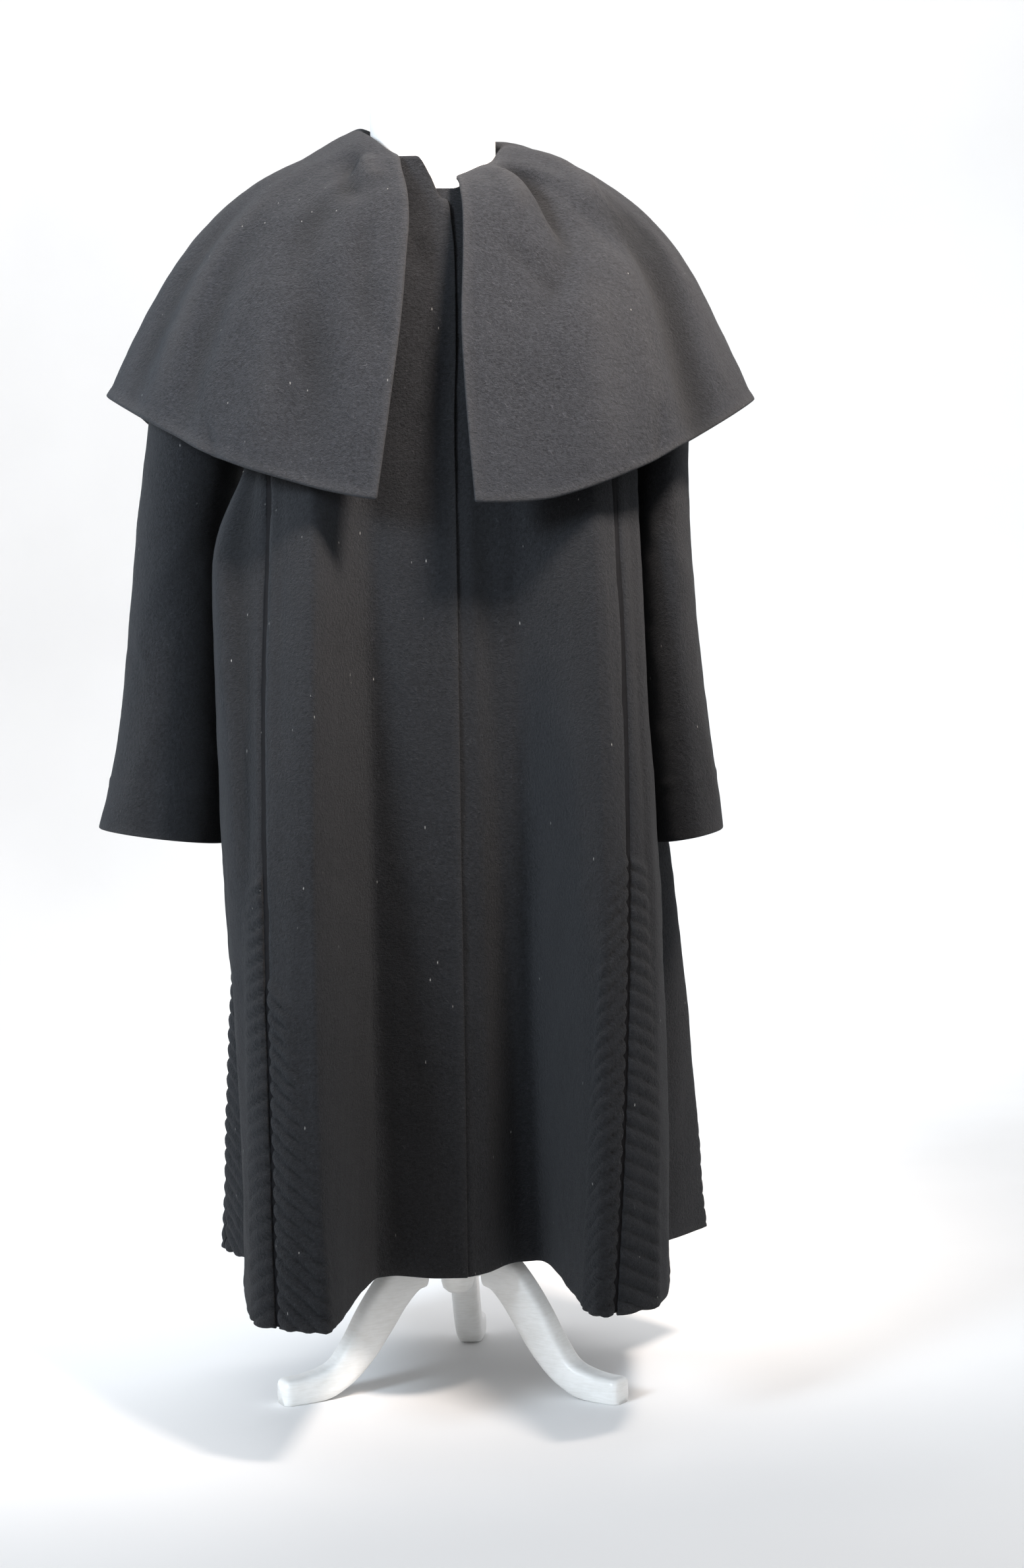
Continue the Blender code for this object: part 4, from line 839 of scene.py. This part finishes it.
formShape = {
    "columns": 128, "seat": 0.0030, "neckRadius": 0.0572, "neckTop": 1.205, "neckBack": 0.008,
    "neckLean": 0.2, "neckSink": 0.006, "chestRoom": 0.006,
    "neckEdge": ((0.0, 0.020), (0.0006, 0.040), (0.003, 0.0515), (0.009, 0.0562), (0.018, 0.0572)),  # drop, radius
    "shoulders": ((0.4, 0.001), (0.7, 0.0), (1.0, 0.0), (1.4, 0.002), (1.8, 0.010)),    # coat's row, depth under it
    "sections": (   # height, half width, forward, back
        (0.985, 0.155, 0.100, 0.080), (0.930, 0.146, 0.110, 0.086), (0.870, 0.140, 0.114, 0.088),
        (0.790, 0.126, 0.100, 0.086), (0.720, 0.118, 0.090, 0.086), (0.640, 0.134, 0.092, 0.102),
        (0.580, 0.142, 0.094, 0.110), (0.568, 0.132, 0.086, 0.102),
    ),
}


def makeForm():
    # rings of the neck, then of the coat's shoulders moved in, then the torso's ellipses, joined by along
    shape = formShape
    a = np.linspace(-180, 180, shape["columns"], endpoint=False)
    s, c = np.sin(np.radians(a)), np.cos(np.radians(a))
    around = np.stack([s, -c, 0.0 * s], -1)
    back = np.array([0.0, -shape["neckBack"], 0.0])
    rings = [around * radius + back + [0.0, 0.0, shape["neckTop"] - drop] for drop, radius in shape["neckEdge"]]
    foot = around * shape["neckRadius"] + back
    foot[:, 2] = coat(90.0, 0.0)[2] + shape["neckLean"] * foot[:, 1] - shape["neckSink"]
    rings.append(foot)
    for t, drop in shape["shoulders"]:
        t = np.full_like(a, t)
        rings.append(coat(a, t) - outward(coat, a, t) * (shape["seat"] + shape["chestRoom"] * c**2 + drop)[:, None])
    for t in (0, 1, 2, 3, 3.5, 4, 4.5, 5, 5.5, 6, 7):
        z, halfWidth, front, back = along(shape["sections"], t)
        rings.append(np.stack([halfWidth * s, -np.where(c > 0, front, back) * c, np.full_like(a, z)], -1))
    rings = np.array(rings)
    steps = np.concatenate([np.linspace(0, 5, 40), np.linspace(5, len(rings) - 1, 90)[1:]])
    fine = along(rings, steps)
    straight = np.clip(steps - 4, 0, 1)[:, None, None]   # the neck runs straight from its top to the shoulders
    between = rings[4] * (1 - straight) + rings[5] * straight
    fine = np.where(((steps > 4) & (steps < 5))[:, None, None], between, fine)
    dress(closedStack("formTorso", fine), jersey, "jersey", "dress_form")


makeForm()

standShape = {
    # radius and height
    "pole": ((0.0005, 0.1903), (0.0165, 0.1903), (0.017, 0.1909),
             (0.017, 0.5671), (0.0165, 0.5677), (0.0005, 0.5677)),
    "hub": ((0.0005, 0.190), (0.018, 0.190), (0.024, 0.1895), (0.030, 0.186), (0.0336, 0.180), (0.034, 0.172),
            (0.0335, 0.160), (0.0325, 0.150), (0.0335, 0.140), (0.034, 0.120), (0.034, 0.110), (0.032, 0.103),
            (0.028, 0.100), (0.0165, 0.098), (0.0155, 0.096), (0.0152, 0.092), (0.0135, 0.086), (0.0090, 0.0822),
            (0.0005, 0.081)),
    "legAzimuths": (-65.0, 55.0, 175.0), "legThick": 0.026, "legRings": 90, "legColumns": 40,
    "legRoute": (   # reach, height and depth of the wood
        (0.0345, 0.111, 0.038), (0.052, 0.105, 0.037), (0.069, 0.088, 0.036), (0.085, 0.066, 0.036),
        (0.103, 0.040, 0.032), (0.123, 0.0205, 0.027), (0.150, 0.0122, 0.0252), (0.178, 0.0108, 0.024),
    ),
    "legStart": (0.94, 0.985), "toe": (0.985, 0.95, 0.88, 0.74),     # share of the full size
}


def lathe(name, profile, columns=72):
    # each row of radius and height turned round the form's axis
    phi = np.linspace(0, 2 * math.pi, columns, endpoint=False)
    r, z = np.asarray(profile, float).T
    r, z = r[:, None], z[:, None]
    rings = np.stack([r * np.cos(phi), r * np.sin(phi), z + 0.0 * phi], -1)
    return closedStack(name, rings)


def makeLeg(name, azimuth):
    # a rounded rectangle, the superellipse of power four, carried square to the route and flattened on the floor
    shape = standShape
    azimuth = math.radians(azimuth)
    out = np.array([math.sin(azimuth), -math.cos(azimuth), 0.0])
    side = np.array([math.cos(azimuth), math.sin(azimuth), 0.0])
    up = np.array([0.0, 0.0, 1.0])
    k = np.linspace(0, 7, shape["legRings"])
    route = along(shape["legRoute"], k)
    run = np.gradient(route[:, 0])
    fall = np.gradient(route[:, 1]) * smooth(k / 0.6) * (1 - step(k, (6.4, 0.6)))   # both ends are cut upright
    length = np.hypot(run, fall)
    across = up * (run / length)[:, None] - out * (fall / length)[:, None]
    middle = out * route[:, :1] + up * route[:, 1:2]
    phi = np.linspace(0, 2 * math.pi, shape["legColumns"], endpoint=False)
    u, v = (0.5 * np.sign(wave) * np.abs(wave) ** 0.5 for wave in (np.cos(phi), np.sin(phi)))
    size = np.ones(shape["legRings"])
    size[:2], size[-4:] = shape["legStart"], shape["toe"]
    rings = (middle[:, None] + across[:, None] * (route[:, 2:] * v * size[:, None])[..., None]
             + side * (shape["legThick"] * u * size[:, None])[..., None])
    z = np.maximum(rings[..., 2], 0.0)
    low = smooth((0.004 - (z - z.min(axis=1, keepdims=True))) / 0.004) * step(k, (5.0, 1.0))[:, None]
    rings[..., 2] = z - low * z
    return closedStack(name, rings)


dress(lathe("standPole", standShape["pole"]), paint, "paint", "stand_pole")
dress(lathe("standHub", standShape["hub"]), paint, "paint", "stand_hub")
for number, azimuth in enumerate(standShape["legAzimuths"], 1):
    dress(makeLeg(f"standLeg{number}", azimuth), paint, "paint", f"stand_leg_{number}")
print("form and stand made")


setLooks = {
    "floor": (0.81, 0.84), "curve": 0.8, "wallAt": 3.4, "wallTop": 5.0, "frontAt": -6.0, "halfWidth": 7.0,
    "world": (0.97, 0.98, 1.0, 1.0), "worldStrength": 0.95,
    # place, size, watts, colour, aim, spread in degrees
    "key": ((0.62, -0.90, 1.90), 0.36, 7.2, (1.0, 0.88, 0.79), (0.12, -0.08, 1.00), 50.0),
    "fill": ((-1.6, -1.9, 1.50), 0.8, 9.5, (0.78, 0.89, 1.0), (-0.38, 0.0, 0.78), 46.0),
    "wash": ((0.0, 1.5, 3.4), 2.6, 30.0, (1.0, 1.0, 1.0), (0.0, 3.4, 0.9), 160.0),
}


def makeFloor():
    # a flat floor that turns up behind into a wall by a quarter circle, carried straight across
    looks, r = setLooks, setLooks["curve"]
    turn = np.linspace(0, math.pi / 2, 24)
    y = np.concatenate([[looks["frontAt"]], looks["wallAt"] - r + r * np.sin(turn), [looks["wallAt"]]])
    z = np.concatenate([[0.0], r - r * np.cos(turn), [looks["wallTop"]]])
    x = np.array([[-looks["halfWidth"]], [looks["halfWidth"]]])
    points = np.stack(np.broadcast_arrays(x, y, z), -1).reshape(-1, 3)
    index = np.arange(len(points)).reshape(2, -1)
    faces = np.stack([index[0, :-1], index[1, :-1], index[1, 1:], index[0, 1:]], -1)
    floor = meshPiece("studioFloor", points, faces)
    made, tree, shader = newMaterial("paleFloor")
    where = addNode(tree, "ShaderNodeTexCoord").outputs["Object"]
    dark, light = looks["floor"]
    tone = rampNode(tree, noiseNode(tree, where, 3.0), [(0.3, grey(dark)), (0.7, grey(light))])
    feed(tree, shader.inputs["Base Color"], tone)
    feed(tree, shader.inputs["Roughness"], 0.9)
    floor.data.materials.append(made)


def aimed(place, target):
    # the turn that points a lamp's -Z along the target less the place
    return (Vector(target) - Vector(place)).to_track_quat("-Z", "Y").to_matrix().to_4x4()


def makeLight(name, place, size, watts, colour, aim, spread):
    # a round lamp whose cone is the spread wide
    data = bpy.data.lights.new(name, "AREA")
    data.shape, data.size, data.energy, data.color, data.spread = "DISK", size, watts, colour, math.radians(spread)
    light = bpy.data.objects.new(name, data)
    light.matrix_world = Matrix.Translation(place) @ aimed(place, aim)
    bpy.context.collection.objects.link(light)


# metres from the form's axis; the rest in the photograph's pixels, and the roll in degrees
cameraLooks = {"place": (0.0, -2.4, 0.627), "focal": 3927.0, "width": 1554, "height": 2380, "axisAt": (678.0, 1071.0),
               "roll": 1.2}


def makeCamera():
    # turned by the arctangent of the axis's distance from the picture's middle over the focal length, then rolled
    looks = cameraLooks
    focal, height, roll = looks["focal"], looks["height"], math.radians(looks["roll"])
    yaw = -math.atan((looks["axisAt"][0] - looks["width"] / 2) / focal)
    pitch = math.atan((looks["axisAt"][1] - height / 2) / focal)
    ahead = np.array([math.sin(yaw) * math.cos(pitch), math.cos(yaw) * math.cos(pitch), math.sin(pitch)])
    right = np.cross(ahead, (0.0, 0.0, 1.0))
    right /= np.linalg.norm(right)
    up = np.cross(right, ahead)
    turnedRight = right * math.cos(roll) - up * math.sin(roll)
    turnedUp = up * math.cos(roll) + right * math.sin(roll)
    data = bpy.data.cameras.new("photoCamera")
    data.sensor_fit = "VERTICAL"
    data.angle_y = 2 * math.atan(height / 2 / focal)
    data.clip_start, data.clip_end = 0.05, 50.0
    camera = bpy.data.objects.new("photoCamera", data)
    matrix = np.identity(4)
    matrix[:3] = np.stack([turnedRight, turnedUp, -ahead, centre + looks["place"]], -1)
    camera.matrix_world = Matrix(matrix.tolist())
    bpy.context.collection.objects.link(camera)
    bpy.context.scene.camera = camera


makeFloor()
for name in ("key", "fill", "wash"):
    makeLight(name, *setLooks[name])
world = bpy.data.worlds.new("softRoom")
world.use_nodes = True
sky = world.node_tree.nodes["Background"]
feed(world.node_tree, sky.inputs["Color"], setLooks["world"])
feed(world.node_tree, sky.inputs["Strength"], setLooks["worldStrength"])
bpy.context.scene.world = world
bpy.context.scene.view_settings.view_transform = "Standard"
makeCamera()
print("set made")
